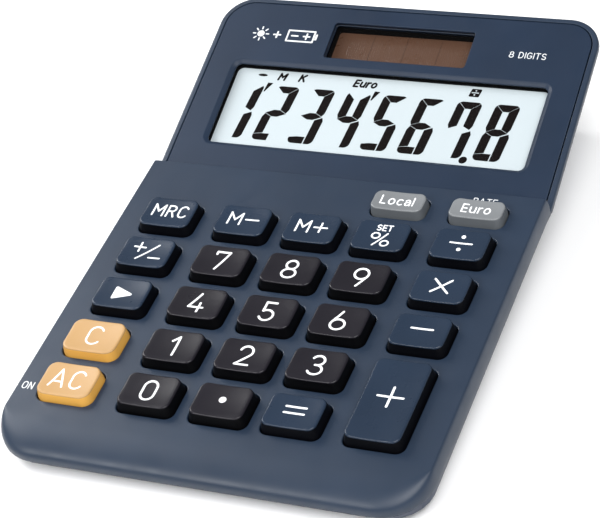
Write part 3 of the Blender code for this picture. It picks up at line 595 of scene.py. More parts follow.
def make_upper_case(coats):
    """The one moulding that makes the keypad housing and the display unit's frame."""
    case = cast("upper_case_shell", [keypad_shell()], WORLD, coats["case"])
    combine(case, "DIFFERENCE", mesh_of("holes", [hole_sections(name) for name in key_names()]))
    case.data.transform(DECK)
    combine(case, "UNION", mesh_of("rim", [display_rim()], DISPLAY))
    half, front, rear = opening("lcd_window", WINDOW_LEDGE)
    ledge = WINDOW_LEDGE + GAP
    pocket = block(half + ledge, front - ledge, rear + ledge, LCD_CORNER)
    well = block(*opening("solar_window", -GAP), SOLAR_CORNER)
    cuts = [[raised(ring, -0.006), raised(ring, 0.001)] for ring in (pocket, well)]
    combine(case, "DIFFERENCE", mesh_of("windows", cuts, DISPLAY))
    level_normals(case, DECK, DISPLAY)
    return keep(case, "casing", "upper_case", "upper_case")


def make_display_panel(coats):
    """The flush front panel, with a bevelled frame round the display's window."""
    edge = 0.00015
    rings = []
    for inset, z in ((0, -PANEL_SKIN), (0, -edge), (edge * 0.3, -edge * 0.3), (edge, 0)):
        ring = display_outline(RIM_WIDTH + GAP + inset)
        rings.append([(x, max(y, PANEL_FRONT), z) for x, y in ring])
    panel = cast("front_panel", [rings], DISPLAY, coats["panel"])
    half, front, rear = opening("lcd_window", WINDOW_LEDGE)
    bezel = [raised(block(half, front, rear, LCD_CORNER), z) for z in (-0.003, -BEZEL_DROP - 0.0001)]
    for out, z in (
        (0.0001, -BEZEL_DROP),
        (BEZEL_WIDTH - 0.00015, -0.00008),
        (BEZEL_WIDTH, -0.00002),
        (BEZEL_WIDTH + 0.00015, 0.0),
        (BEZEL_WIDTH + 0.00016, 0.001),
    ):
        bezel.append(raised(block(half + out, front - out, rear + out, LCD_CORNER + out), z))
    half, front, rear = opening("solar_window", -GAP)
    slot = []
    for out, z in ((0, -0.003), (0, -0.0002), (0.00006, -0.00006), (0.0002, 0), (0.00021, 0.001)):
        slot.append(raised(block(half + out, front - out, rear + out, SOLAR_CORNER + out), z))
    combine(panel, "DIFFERENCE", mesh_of("cuts", [bezel, slot], DISPLAY))
    level_normals(panel, DISPLAY)
    return keep(panel, "casing", "display_panel", "display_panel")


def frame_body(inner, outer, low, high):
    """A ring-shaped body as one loop of sections round its wall."""
    return [raised(outer, low), raised(outer, high), raised(inner, high), raised(inner, low)]


def slab(low, high, corner, edge, steps=4):
    """Rings of a flat plate that fills a box, with rounded corners and small bevels."""
    middle = (low.x + high.x) / 2
    rings = []
    for inset, z in ((edge, low.z), (0, low.z + edge), (0, high.z - edge), (edge, high.z)):
        ring = block((high.x - low.x) / 2 - inset, low.y + inset, high.y - inset, corner, steps)
        rings.append([(x + middle, y, z) for x, y in ring])
    return rings


def make_gaskets(coats):
    """Black linings of the two window openings, whose near-black colour is painted shade on the recess
    walls.
    """
    half, front, rear = opening("lcd_window", WINDOW_LEDGE)
    pane_low, pane_high = (p.z for p in local_box("lcd_window", DISPLAY))
    cell_top = local_box("lcd_cell", DISPLAY)[1].z
    near, far, air = 0.00002, LCD_LINING, 0.00004
    inner = block(half + near, front - near, rear + near, LCD_CORNER)
    outer = block(half + far, front - far, rear + far, LCD_CORNER + far)
    above = frame_body(inner, outer, pane_high + air, -PANEL_SKIN - air)
    below = frame_body(inner, outer, cell_top + air, pane_low - air)
    shade_lining = cast("lcd_shade_lining", [above, below], DISPLAY, coats["black"], hollow=True)
    keep(shade_lining, "casing", "black_plastic")
    half, front, rear = opening("solar_window", -GAP)
    film_top = local_box("solar_cell", DISPLAY)[1].z
    pane_low = local_box("solar_window", DISPLAY)[0].z
    far, air = SOLAR_LINING, 0.00003
    outer = block(half - air, front + air, rear - air, SOLAR_CORNER)
    inner = block(half - far, front + far, rear - far, SOLAR_CORNER)
    body = frame_body(inner, outer, film_top + air, pane_low - air)
    lining = cast("solar_shade_lining", [body], DISPLAY, coats["black"], hollow=True)
    keep(lining, "casing", "black_plastic")


def make_solar_film(coats):
    """The solar cell under its window: a brown film with fine bars between its four fields."""
    low, high = local_box("solar_cell", DISPLAY)
    film = cast("solar_film", [slab(low, high, 0.0013, 0.0001)], DISPLAY, coats["solar"])
    keep(film, "casing", "solar_cell", "solar_cell")
    sheet = Print(lambda x, y: high.z)
    front, rear = low.y + SOLAR_BAR_MARGIN, high.y - SOLAR_BAR_MARGIN
    for x in SOLAR_FIELDS:
        sheet.stroke([(x, front), (x + SOLAR_BAR_LEAN, rear)], SOLAR_BAR_WIDTH)
    sheet.piece("solar_bars", DISPLAY, coats["solar_line"], "casing", "solar_cell")


# ---------------------------------------------------------------- keys


def key_form(name):
    """A key's finish, place and sizes."""
    slot = key_slot(name)
    middle, base = key_size(name)
    top = KEY_TOPS[slot]
    extra = ROW_PITCH if name == PLUS_KEY else 0.0
    return {
        "slot": slot,
        "middle": middle,
        "base": base,
        "top": (top[0], top[1] + extra),
        "height": local_box(name, DECK)[1].z,
        "corner": KEY_CORNERS[slot],
    }


def dish_drop(form, x, y):
    """How far the key's top lies below its corners: it is hollowed for the fingertip."""
    reach = (2 * x / form["top"][0]) ** 2 + (2 * y / form["top"][1]) ** 2
    return KEY_DISH * max(0.0, 1 - reach / 2)


def key_ring(size, corner, z):
    return raised(block(size[0] / 2, -size[1] / 2, size[1] / 2, max(corner, 0.00004), 6, 9), z)


def key_sections(form):
    """A key cap's rings: its flange, its sloping sides, its rounded edge, and in to its middle."""
    height, corner = form["height"], form["corner"]
    base, top = form["base"], form["top"]
    flange = (base[0] + 2 * FLANGE_WIDTH, base[1] + 2 * FLANGE_WIDTH)
    flange_top = -DECK_SKIN - GAP
    sections = [
        key_ring(flange, corner, flange_top - FLANGE_SKIN),
        key_ring(flange, corner, flange_top),
        key_ring(base, corner, flange_top),
        key_ring(base, corner, 0.0),
        key_ring(top, corner, height - KEY_EDGE),
    ]
    for inward, down in rounding(6):
        inset = KEY_EDGE * inward
        size = (top[0] - 2 * inset, top[1] - 2 * inset)
        sections.append(key_ring(size, corner - inset, height - KEY_EDGE * down))
    rim = (top[0] - 2 * KEY_EDGE, top[1] - 2 * KEY_EDGE)
    for share in (0.86, 0.70, 0.52, 0.34, 0.16, 0.04):
        sections.append(key_ring((rim[0] * share, rim[1] * share), (corner - KEY_EDGE) * share, height))
    dished = []
    for section in sections:
        ring = []
        for x, y, z in section:
            near_top = min(1.0, max(0.0, 1 - (height - z) / (3 * KEY_EDGE)))
            ring.append((x, y, z - dish_drop(form, x, y) * near_top))
        dished.append(ring)
    return dished


def make_key(name, coats):
    """A key cap, with one colour on top and another on its sides: the sides' colour is painted shade, and
    painted light on the yellow keys.
    """
    form = key_form(name)
    place = DECK @ Matrix.Translation((form["middle"].x, form["middle"].y, 0))
    mesh = mesh_of(f"{name}_cap", [key_sections(form)], degrees=50)
    # The side colour is painted shade, or painted light on the yellow keys.
    side = coats[form["slot"].replace("_key", "_side")]
    cap = new_object(f"{name}_cap", mesh, coats[form["slot"]], side)
    for face in mesh.polygons:
        face.material_index = 0 if face.center.z > form["height"] - 1.1 * KEY_EDGE - KEY_DISH else 1
    mesh.transform(place)
    keep(cap, name, form["slot"], name)
    return form, place


# ---------------------------------------------------------------- lettering


def arc(x, y, across, along, start, end, steps=18):
    angles = (math.radians(start + (end - start) * step / steps) for step in range(steps + 1))
    return [(x + across * math.cos(angle), y + along * math.sin(angle)) for angle in angles]


def ring_stroke(x, y, across, along):
    return arc(x, y, across, along, 90, 450, 36)


# Each letter is a width and its strokes, for capitals one unit high. Small letters are 0.72 high.
LETTER_SPACE = 0.30
GLYPHS = {
    "0": (0.56, [[*arc(0.28, 0.70, 0.28, 0.30, 0, 180), *arc(0.28, 0.30, 0.28, 0.30, 180, 360),
                  (0.56, 0.70)]]),
    "1": (0.26, [[(0.0, 0.76), (0.24, 1.0), (0.24, 0.0)]]),
    "2": (0.56, [[*arc(0.27, 0.72, 0.27, 0.28, 165, -32), (0.0, 0.0), (0.56, 0.0)]]),
    "3": (0.55, [[*arc(0.26, 0.76, 0.25, 0.24, 155, -90), (0.19, 0.52)],
                 arc(0.26, 0.26, 0.285, 0.26, 90, -155)]),
    "4": (0.62, [[(0.34, 1.0), (0.0, 0.25), (0.62, 0.25)], [(0.45, 0.50), (0.45, 0.0)]]),
    "5": (0.55, [[(0.50, 1.0), (0.08, 1.0), (0.06, 0.53)], arc(0.26, 0.30, 0.285, 0.30, 132, -155)]),
    "6": (0.58, [ring_stroke(0.29, 0.29, 0.29, 0.29), [(0.32, 1.0), (0.03, 0.42)]]),
    "7": (0.57, [[(0.0, 0.87), (0.0, 1.0), (0.57, 1.0), (0.20, 0.0)]]),
    "8": (0.58, [ring_stroke(0.29, 0.755, 0.235, 0.235), ring_stroke(0.29, 0.265, 0.29, 0.265)]),
    "9": (0.58, [ring_stroke(0.29, 0.71, 0.29, 0.29), [(0.26, 0.0), (0.55, 0.58)]]),
    "A": (0.66, [[(0.0, 0.0), (0.33, 1.0), (0.66, 0.0)], [(0.12, 0.30), (0.54, 0.30)]]),
    "C": (0.56, [[*arc(0.30, 0.69, 0.30, 0.31, 28, 180), *arc(0.30, 0.31, 0.30, 0.31, 180, 332)]]),
    "D": (0.58, [[(0.0, 0.0), (0.0, 1.0), (0.20, 1.0), *arc(0.20, 0.5, 0.38, 0.5, 90, -90), (0.0, 0.0)]]),
    "E": (0.48, [[(0.48, 1.0), (0.0, 1.0), (0.0, 0.0), (0.48, 0.0)], [(0.0, 0.52), (0.42, 0.52)]]),
    "G": (0.60, [[*arc(0.30, 0.69, 0.30, 0.31, 32, 180), *arc(0.30, 0.31, 0.30, 0.31, 180, 360),
                  (0.60, 0.46), (0.34, 0.46)]]),
    "I": (0.0, [[(0.0, 0.0), (0.0, 1.0)]]),
    "K": (0.54, [[(0.0, 0.0), (0.0, 1.0)], [(0.50, 1.0), (0.02, 0.42)], [(0.20, 0.62), (0.54, 0.0)]]),
    "L": (0.46, [[(0.0, 1.0), (0.0, 0.0), (0.46, 0.0)]]),
    "M": (0.72, [[(0.0, 0.0), (0.0, 1.0), (0.36, 0.40), (0.72, 1.0), (0.72, 0.0)]]),
    "N": (0.58, [[(0.0, 0.0), (0.0, 1.0), (0.58, 0.0), (0.58, 1.0)]]),
    "O": (0.64, [[*arc(0.32, 0.68, 0.32, 0.32, 0, 180), *arc(0.32, 0.32, 0.32, 0.32, 180, 360),
                  (0.64, 0.68)]]),
    "R": (0.54, [[(0.0, 0.0), (0.0, 1.0), (0.27, 1.0), *arc(0.27, 0.755, 0.25, 0.245, 90, -90),
                  (0.0, 0.51)],
                 [(0.28, 0.51), (0.54, 0.0)]]),
    "S": (0.53, [[*arc(0.265, 0.745, 0.25, 0.255, 30, 270), *arc(0.265, 0.245, 0.265, 0.245, 90, -150)]]),
    "T": (0.56, [[(0.0, 1.0), (0.56, 1.0)], [(0.28, 1.0), (0.28, 0.0)]]),
    "a": (0.46, [[*arc(0.23, 0.46, 0.23, 0.26, 150, 0), (0.46, 0.0)],
                 [(0.46, 0.42), *arc(0.20, 0.21, 0.20, 0.21, 90, 270), (0.46, 0.14)]]),
    "c": (0.46, [arc(0.27, 0.36, 0.27, 0.36, 50, 310)]),
    "l": (0.0, [[(0.0, 1.0), (0.0, 0.0)]]),
    "o": (0.54, [ring_stroke(0.27, 0.36, 0.27, 0.36)]),
    "r": (0.28, [[(0.0, 0.0), (0.0, 0.72)], arc(0.26, 0.44, 0.26, 0.28, 180, 80)]),
    "u": (0.50, [[(0.0, 0.72), *arc(0.25, 0.25, 0.25, 0.25, 180, 360), (0.50, 0.72)],
                 [(0.50, 0.30), (0.50, 0.0)]]),
    "+": (0.80, [[(0.0, 0.5), (0.80, 0.5)], [(0.40, 0.90), (0.40, 0.10)]]),
    "-": (0.80, [[(0.0, 0.5), (0.80, 0.5)]]),
    "x": (0.80, [[(0.0, 0.10), (0.80, 0.90)], [(0.0, 0.90), (0.80, 0.10)]]),
    "=": (0.90, [[(0.0, 0.32), (0.90, 0.32)], [(0.0, 0.68), (0.90, 0.68)]]),
    "%": (1.02, [ring_stroke(0.21, 0.78, 0.20, 0.22), ring_stroke(0.81, 0.22, 0.20, 0.22),
                 [(0.78, 1.0), (0.24, 0.0)]]),
    " ": (0.20, []),
}


def corner_split(points):
    """Cuts a stroke at its corners, so that each part bends smoothly."""
    parts = [[points[0]]]
    for before, here, after in zip(points, points[1:], points[2:]):
        parts[-1].append(here)
        into = Vector(here) - Vector(before)
        out = Vector(after) - Vector(here)
        if into.length > 1e-9 and out.length > 1e-9 and into.angle(out) > math.radians(24):
            parts.append([here])
    parts[-1].append(points[-1])
    return parts


def stations(points, width):
    """Evenly spaced places along a stroke with the half width at each: round at both ends."""
    half = width / 2
    path = [Vector(p) for p in points]
    path = [p for i, p in enumerate(path) if i == 0 or (p - path[i - 1]).length > 1e-9]
    path[0] = path[0] + (path[0] - path[1]).normalized() * half
    path[-1] = path[-1] + (path[-1] - path[-2]).normalized() * half
    lengths = [0.0]
    for start, end in zip(path, path[1:]):
        lengths.append(lengths[-1] + (end - start).length)
    total = lengths[-1]
    caps = [half * (1 - math.cos(math.pi / 2 * k / 4)) for k in range(4)]
    count = max(1, round((total - width) / (width * 0.7)))
    inner = [half + (total - width) * k / count for k in range(count + 1)]
    places = [*caps, *inner, *[total - c for c in reversed(caps)]]
    found = []
    index = 0
    for place in places:
        while index < len(path) - 2 and lengths[index + 1] < place:
            index += 1
        start, end = path[index], path[index + 1]
        span = lengths[index + 1] - lengths[index]
        centre = start.lerp(end, (place - lengths[index]) / span)
        near = min(place, total - place)
        reach = half if near >= half else math.sqrt(max(0.0, half**2 - (half - near) ** 2))
        found.append((centre, max(reach, half * 0.03)))
    return found


class Print:
    """Ink on one surface: flat closed strips and patches, each a hair higher than the one before."""

    def __init__(self, height_at):
        self.bodies = []
        self.height_at = height_at

    def level(self, x, y, rise):
        """A point above the printed surface."""
        return (x, y, self.height_at(x, y) + rise)

    def stroke(self, points, width):
        """One pen line of this width with round ends, cut where it turns a corner."""
        for part in corner_split(points):
            rise = INK_RISE + INK_LAYER * len(self.bodies)
            rings = []
            found = stations(part, width)
            for i, (centre, half) in enumerate(found):
                ahead = found[min(i + 1, len(found) - 1)][0]
                behind = found[max(i - 1, 0)][0]
                along = (ahead - behind).normalized()
                across = Vector((-along.y, along.x)) * half
                left, right = centre + across, centre - across
                rings.append([
                    self.level(*left, rise),
                    self.level(*right, rise),
                    self.level(*right, -INK_SINK),
                    self.level(*left, -INK_SINK),
                ])
            self.bodies.append(rings)

    def patch(self, ring):
        """A filled shape whose outline every point of its middle can see."""
        rise = INK_RISE + INK_LAYER * len(self.bodies)
        middle = sum((Vector(p) for p in ring), Vector((0, 0))) / len(ring)
        rings = [[self.level(*p, -INK_SINK) for p in ring]]
        for share in (1.0, 0.66, 0.33, 0.02):
            rings.append([self.level(*middle.lerp(Vector(p), share), rise) for p in ring])
        self.bodies.append(rings)

    def write(self, text, *sizes, lean=0.0):
        """Letters about a centre, fitted to an outer height and width, with a stroke, in millimetres."""
        middle_x, middle_y, height, width, stroke = (size * MM for size in sizes)
        tall = height - stroke
        total = sum(GLYPHS[letter][0] + LETTER_SPACE for letter in text) - LETTER_SPACE
        squeeze = (width - stroke - lean * tall) / (total * tall)
        x = 0.0
        for letter in text:
            advance, strokes = GLYPHS[letter]
            for points in strokes:
                placed = []
                for u, v in points:
                    along = (x + u) * squeeze * tall + lean * v * tall
                    placed.append((middle_x + along - (width - stroke) / 2, middle_y + (v - 0.5) * tall))
                self.stroke(placed, stroke)
            x += advance + LETTER_SPACE

    def piece(self, name, plane, coat, body, slot):
        """Makes one object of everything printed so far."""
        return keep(cast(name, self.bodies, plane, coat, degrees=60), body, slot)


# What each key says and, in millimetres, the place of the text's middle, its height, width and stroke.
DIGIT_WIDTHS = (3.7, 2.1, 3.7, 3.7, 4.1, 3.7, 3.9, 3.8, 3.9, 3.9)
LEGENDS = {str(digit): (str(digit), 0.0, 0.1, 6.0, width, 0.55) for digit, width in enumerate(DIGIT_WIDTHS)}
LEGENDS |= {
    "memory_recall": ("MRC", 0.2, 0.5, 4.0, 9.0, 0.45),
    "memory_minus": ("M-", 0.2, 0.5, 4.1, 7.9, 0.45),
    "memory_plus": ("M+", 0.0, 0.5, 4.1, 7.9, 0.45),
    "clear": ("C", -0.1, 0.3, 5.7, 3.6, 0.48),
    "all_clear": ("AC", -0.4, 0.3, 5.5, 8.2, 0.48),
    "local": ("Local", -0.25, 0.15, 2.9, 8.3, 0.36),
    "euro": ("Euro", -0.1, 0.1, 2.8, 7.1, 0.36),
    "multiply": ("x", 0.1, 0.4, 5.4, 4.5, 0.50),
    "minus": ("-", 0.2, 0.8, 5.4, 5.5, 0.50),
    "equals": ("=", 0.1, 0.5, 5.4, 5.2, 0.52),
    "plus": ("+", 0.1, 1.0, 7.5, 6.4, 0.55),
}


def legend_for(name, sheet):
    """Draws what is printed on a key. Places are measured from the middle of its top."""
    plain = name.removeprefix("key_")
    if plain in LEGENDS:
        sheet.write(*LEGENDS[plain])
    if plain == "point":
        sheet.patch(circle(0.1 * MM, 0.5 * MM, 0.85 * MM))
    if plain == "percent":
        sheet.write("SET", 0.2, 2.6, 1.9, 3.9, 0.31)
        sheet.write("%", 0.2, -1.1, 4.5, 5.2, 0.42)
    if plain == "divide":
        sheet.write("-", 0.1, 0.5, 5.4, 5.6, 0.46)
        for side in (-1, 1):
            sheet.patch(circle(0.1 * MM, (0.5 + side * 2.0) * MM, 0.52 * MM))
    if plain == "sign":
        sheet.stroke([(-1.8 * MM, -2.3 * MM), (2.5 * MM, 2.6 * MM)], 0.45 * MM)
        sheet.write("+", -2.1, 1.5, 3.9, 3.3, 0.45)
        sheet.write("-", 2.7, -1.6, 3.9, 3.3, 0.45)
    if plain == "shift":
        sheet.patch(rounded_polygon([(-2.2, -2.1), (3.1, 0.0), (-2.2, 2.1)], 0.35))


def rounded_polygon(corners, radius, steps=5):
    """A convex outline with rounded corners, anticlockwise, given in millimetres."""
    points = []
    count = len(corners)
    for i, corner in enumerate(corners):
        here = Vector(corner)
        into = (here - Vector(corners[i - 1])).normalized()
        out = (Vector(corners[(i + 1) % count]) - here).normalized()
        turn = into.angle_signed(out) * -1
        reach = radius * math.tan(abs(turn) / 2)
        start = here - into * reach
        centre = start + Vector((-into.y, into.x)) * radius
        for step in range(steps + 1):
            angle = turn * step / steps
            offset = start - centre
            offset.rotate(Matrix.Rotation(angle, 2))
            points.append(tuple((centre + offset) * MM))
    return points


def make_keys(coats):
    """All key caps, each with its legend riding on it."""
    for name in key_names():
        form, place = make_key(name, coats)
        sheet = Print(lambda x, y, form=form: form["height"] - dish_drop(form, x, y))
        legend_for(name, sheet)
        sheet.piece(f"{name}_legend", place, coats["ink"], name, form["slot"])


def make_mat(coats):
    """The silicone mat as a sheet, with a dome under each key."""
    low, high = local_box("key_mat", DECK)
    inverse = DECK.inverted()
    heights = [(inverse @ v.co).z for v in NODES["key_mat"].data.vertices]
    sheet_top = max(round(z, 6) for z in heights if z < (low.z + 3 * high.z) / 4)
    rings = slab(low, Vector((high.x, high.y, sheet_top)), 0.002, 0.0002, 6)
    sheet = cast("mat_sheet", [rings], DECK, coats["silicone"])
    keep(sheet, "casing", "silicone", "key_mat")
    foot = sheet_top + DOME_SEAM
    tall = high.z - foot
    wide, narrow = DOME_FOOT_RADIUS, DOME_TOP_RADIUS
    profile = ((0.0, wide), (0.12, wide), (0.25, wide * 0.93), (0.55, narrow * 1.12))
    profile += ((0.70, narrow), (0.93, narrow), (1.0, narrow * 0.93))
    for name in key_names():
        centre, _ = key_size(name)
        around = (centre.x, centre.y)
        rings = [raised(circle(*around, radius), foot + tall * share) for share, radius in profile]
        dome = cast(f"{name}_dome", [rings], DECK, coats["silicone"])
        keep(dome, "casing", "silicone")
        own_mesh(dome)


# ---------------------------------------------------------------- liquid crystal display

DIGIT_BOX = (6.25 * MM, 16.6 * MM)
DIGIT_FOOT = 10.35 * MM
DIGIT_PITCH = 9.62 * MM
FIRST_DIGIT = -40.45 * MM
DIGIT_LEAN = 0.112
BAR_UPRIGHT = 2.35 * MM
BAR_LEVEL = 2.1 * MM
BAR_GAP = 0.10 * MM
FOOT_SHIFT = 0.5 * MM
SHOWN = {
    "1": "bc",
    "2": "abged",
    "3": "abgcd",
    "4": "fgbc",
    "5": "afgcd",
    "6": "afgecd",
    "7": "fabc",
    "8": "abcdefg",
}


def clipped(points, start, end):
    """The part of a convex outline on the left of the line from start to end, half a gap away."""
    start, end = Vector(start), Vector(end)
    normal = Vector((start.y - end.y, end.x - start.x)).normalized()
    origin = start + normal * BAR_GAP / 2
    kept = []
    for here, after in zip(points, [*points[1:], points[0]]):
        here, after = Vector(here), Vector(after)
        from_line, next_from_line = (here - origin) @ normal, (after - origin) @ normal
        if from_line >= 0:
            kept.append(tuple(here))
        if from_line * next_from_line < 0:
            kept.append(tuple(here.lerp(after, from_line / (from_line - next_from_line))))
    return kept


def digit_segments():
    """The seven bars of an upright digit, cut from one rounded rectangle by the fine gaps between them."""
    wide, high = DIGIT_BOX
    middle = high / 2
    body = [(x + wide / 2, y) for x, y in block(wide / 2, 0, high, 1.3 * MM, 6)]
    left, right = BAR_UPRIGHT, wide - BAR_UPRIGHT
    top, bottom = high - BAR_LEVEL, BAR_LEVEL
    above, below = middle + BAR_LEVEL / 2, middle - BAR_LEVEL / 2
    waist = 0.25 * MM
    edge = 1.1 * MM
    tip_left, tip_right = (waist, middle), (wide - waist, middle)
    cuts = {
        "a": [((0, top), (wide, top)), ((0, high), (left, top)), ((right, top), (wide, high))],
        "f": [
            ((left, 0), (left, high)),
            ((left, top), (0, high)),
            (tip_left, (left, above)),
            ((0, middle + edge), (waist * 2, middle)),
        ],
        "b": [
            ((right, high), (right, 0)),
            ((wide, high), (right, top)),
            ((right, above), tip_right),
            ((wide - waist * 2, middle), (wide, middle + edge)),
        ],
        "e": [
            ((left, 0), (left, high)),
            ((left, below), tip_left),
            ((waist * 2, middle), (0, middle - edge)),
            ((0, bottom - 0.35 * MM), (left, bottom + 0.1 * MM)),
        ],
        "c": [
            ((right, high), (right, 0)),
            (tip_right, (right, below)),
            ((wide, middle - edge), (wide - waist * 2, middle)),
        ],
        "d": [
            ((wide, bottom), (0, bottom)),
            ((left, bottom + 0.1 * MM), (0, bottom - 0.35 * MM)),
            ((right, 0), (right, high)),
        ],
        "g": [
            ((wide, above), (0, above)),
            ((0, below), (wide, below)),
            ((left, above), tip_left),
            (tip_left, (left, below)),
            (tip_right, (right, above)),
            ((right, below), tip_right),
        ],
    }
    shapes = {}
    for name, lines in cuts.items():
        shape = body
        for start, end in lines:
            shape = clipped(shape, start, end)
        shapes[name] = shape
    shapes["c"] = [(x + FOOT_SHIFT, y) for x, y in shapes["c"]]
    shapes["d"] = [(x * (1 + FOOT_SHIFT / wide), y) for x, y in shapes["d"]]
    return shapes


def leaned(points, x):
    return [(u + x + DIGIT_LEAN * v, v + DIGIT_FOOT) for u, v in points]


def make_lcd(coats):
    """The display's face, its figures and the small signs above them."""
    low, high = local_box("lcd_cell", DISPLAY)
    glass = cast("lcd_glass", [slab(low, high, 0.0013, 0.00012)], DISPLAY, coats["lcd"])
    keep(glass, "casing", "lcd_glass", "lcd_cell")
    face = high.z
    segments = digit_segments()
    sheet = Print(lambda x, y: face)
    for place, digit in enumerate("12345678"):
        for segment in SHOWN[digit]:
            sheet.patch(leaned(segments[segment], FIRST_DIGIT + DIGIT_PITCH * place))
    for place in (0, 3):
        x = FIRST_DIGIT + DIGIT_PITCH * place
        tick = [(6.55, 14.6), (6.85, 14.6), (8.05, 17.3), (6.65, 17.35)]
        sheet.patch(leaned([(u * MM, v * MM) for u, v in tick], x))
    sheet.patch(leaned(circle(7.7 * MM, -0.3 * MM, 1.0 * MM), FIRST_DIGIT + DIGIT_PITCH * 6))
    sheet.patch([((-34.0 + 1.25 * u) * MM, (29.9 + 0.38 * v) * MM) for u, v in circle(0, 0, 1)])
    sheet.write("M", -28.5, 29.8, 2.4, 2.6, 0.52, lean=0.25)
    sheet.write("K", -23.0, 29.85, 2.4, 2.3, 0.52, lean=0.25)
    sheet.write("Euro", -6.0, 29.7, 2.4, 6.7, 0.50, lean=0.25)
    sheet.patch(rounded_polygon([(21.0, 28.55), (23.6, 28.55), (24.1, 30.9), (21.5, 30.9)], 0.3))
    sheet.piece("lcd_figures", DISPLAY, coats["segment"], "casing", "lcd_glass")
    sign = Print(lambda x, y: face + INK_RISE + 0.00008)
    x, y = 22.55, 29.72
    sign.write("-", x, y, 1.5, 1.9, 0.26)
    for side in (-1, 1):
        sign.patch(circle((x + side * 0.09) * MM, (y + side * 0.62) * MM, 0.2 * MM, 12))
    sign.piece("lcd_sign", DISPLAY, coats["lcd"], "casing", "lcd_glass")


# ---------------------------------------------------------------- inside and underside


def dress(node, coat):
    """A CAD piece keeps its shape and takes a material."""
    NODES[node].data.materials.clear()
    NODES[node].data.materials.append(coat)


DRESSED = {
    "lcd_window": "window",
    "solar_window": "window",
    "lcd_reflector": "reflector",
    "lcd_holder": "black",
    "circuit_board": "board",
    "chip_seal": "epoxy",
    "capacitor": "capacitor",
    "display_cable": "cable",
    "solar_wire_minus": "wire",
    "solar_wire_plus": "wire",
    "battery_wire_minus": "wire",
    "battery_wire_plus": "wire",
    "button_cell": "plated",
    "contact_minus": "plated",
    "contact_plus": "plated",
}


def refined(node, piece_name, coat, slot, bevel):
    """A copy of a CAD piece with its edges slightly rounded and its curves shaded smooth."""
    shape = bmesh.new()
    shape.from_mesh(NODES[node].data)
    bmesh.ops.remove_doubles(shape, verts=shape.verts, dist=0.000001)
    bmesh.ops.dissolve_limit(shape, angle_limit=math.radians(1), verts=shape.verts, edges=shape.edges)
    mesh = bpy.data.meshes.new(piece_name)
    shape.to_mesh(mesh)
    shape.free()
    mesh.materials.clear()
    made = new_object(piece_name, mesh, coat)
    edges = made.modifiers.new("edges", "BEVEL")
    edges.width = bevel
    edges.segments = 2
    edges.limit_method = "ANGLE"
    edges.angle_limit = math.radians(40)
    apply_modifiers(made)
    smoothed(made.data, 40)
    weighting = made.modifiers.new("weighting", "WEIGHTED_NORMAL")
    weighting.keep_sharp = True
    apply_modifiers(made)
    return keep(made, "casing", slot, node)


def turned(node, piece_name, profile, coat, slot, cut=None):
    """A round piece at a CAD node's middle. Its profile is heights above its foot, each with a radius."""
    low, high = local_box(node, WORLD)
    middle = (low + high) / 2
    rings = [raised(circle(middle.x, middle.y, radius, 48), low.z + z) for z, radius in profile]
    made = cast(piece_name, [rings], WORLD, coat)
    if cut:
        for slot_body in cut(middle.x, middle.y, low.z):
            combine(made, "DIFFERENCE", mesh_of("slot", [slot_body]))
    return keep(made, "casing", slot, node)


def cross_slots(x, y, z):
    """Two crossed slots that narrow as they go in, for a driver from below."""
    slots = []
    for turn in (0, 1):
        rings = []
        for depth, size in ((-0.0005, (0.0015, 0.00028)), (0.0007, (0.0008, 0.00020))):
            along, across = size if turn == 0 else size[::-1]
            corners = ((-along, -across), (along, -across), (along, across), (-along, across))
            rings.append([(x + u, y + v, z + depth + turn * 0.00001) for u, v in corners])
        slots.append(rings)
    return slots


def make_screws(coats):
    """Screws with a domed head, crossed slots and a thread."""
    head, radius, shank = SCREW_HEAD, SCREW_HEAD_RADIUS, SCREW_SHANK_RADIUS
    core = shank * SCREW_CORE
    for node in sorted(name for name in NODES if "screw" in name):
        low, high = local_box(node, WORLD)
        length = high.z - low.z
        profile = [(0, radius * 0.74), (head * 0.14, radius * 0.87), (head * 0.36, radius * 0.97)]
        profile += [(head * 0.55, radius), (head, radius), (head, shank)]
        pitch = (length - head - SCREW_POINT) / SCREW_TURNS
        for turn in range(SCREW_TURNS):
            start = head + pitch * turn
            profile += [(start + pitch * 0.2, core), (start + pitch * 0.6, shank)]
        profile += [(length - SCREW_TIP, core), (length, shank * 0.35)]
        turned(node, f"{node}_turned", profile, coats["screw"], "screw_steel", cross_slots)


def make_feet(coats):
    """Rubber feet with a rounded lower edge."""
    for node in sorted(name for name in NODES if name.startswith("foot_")):
        low, high = local_box(node, WORLD)
        radius, height = (high.x - low.x) / 2, high.z - low.z
        profile = [(0, radius - FOOT_FLAT_INSET), (0, radius - FOOT_ROUND)]
        profile += [(FOOT_ROUND * 0.3, radius - FOOT_ROUND * 0.3), (FOOT_ROUND, radius), (height, radius)]
        turned(node, f"{node}_pad", profile, coats["rubber"], "rubber")


def make_label(coats):
    """The label in its recess, with a plain printed border, rows of text as bars and a battery sign."""
    refined("rating_label", "label_film", coats["label"], "label", 0.00005)
    low, high = local_box("rating_label", WORLD)
    middle = Matrix.Translation(((low.x + high.x) / 2, (low.y + high.y) / 2, low.z))
    half_x, half_y = (high.x - low.x) / 2, (high.y - low.y) / 2
    sheet = Print(lambda x, y: 0.0)
    box_sign(sheet, (0.0, 0.0), half_x - LABEL_MARGIN, half_y - LABEL_MARGIN, 0.0003)
    left = -half_x + LABEL_ROW_LEFT
    for row, length in enumerate(LABEL_ROWS):
        y = half_y - LABEL_FIRST_ROW - row * LABEL_ROW_PITCH
        sheet.stroke([(left, y), (left + length, y)], LABEL_ROW_WIDTH)
    battery_sign(sheet, (0.0, -half_y + 0.0075), 0.0085, 0.0046, 0.0004)
    below = middle @ Matrix.Rotation(math.pi, 4, "Y")
    sheet.piece("label_print", below, coats["segment"], "casing", "label")


# ---------------------------------------------------------------- printed signs


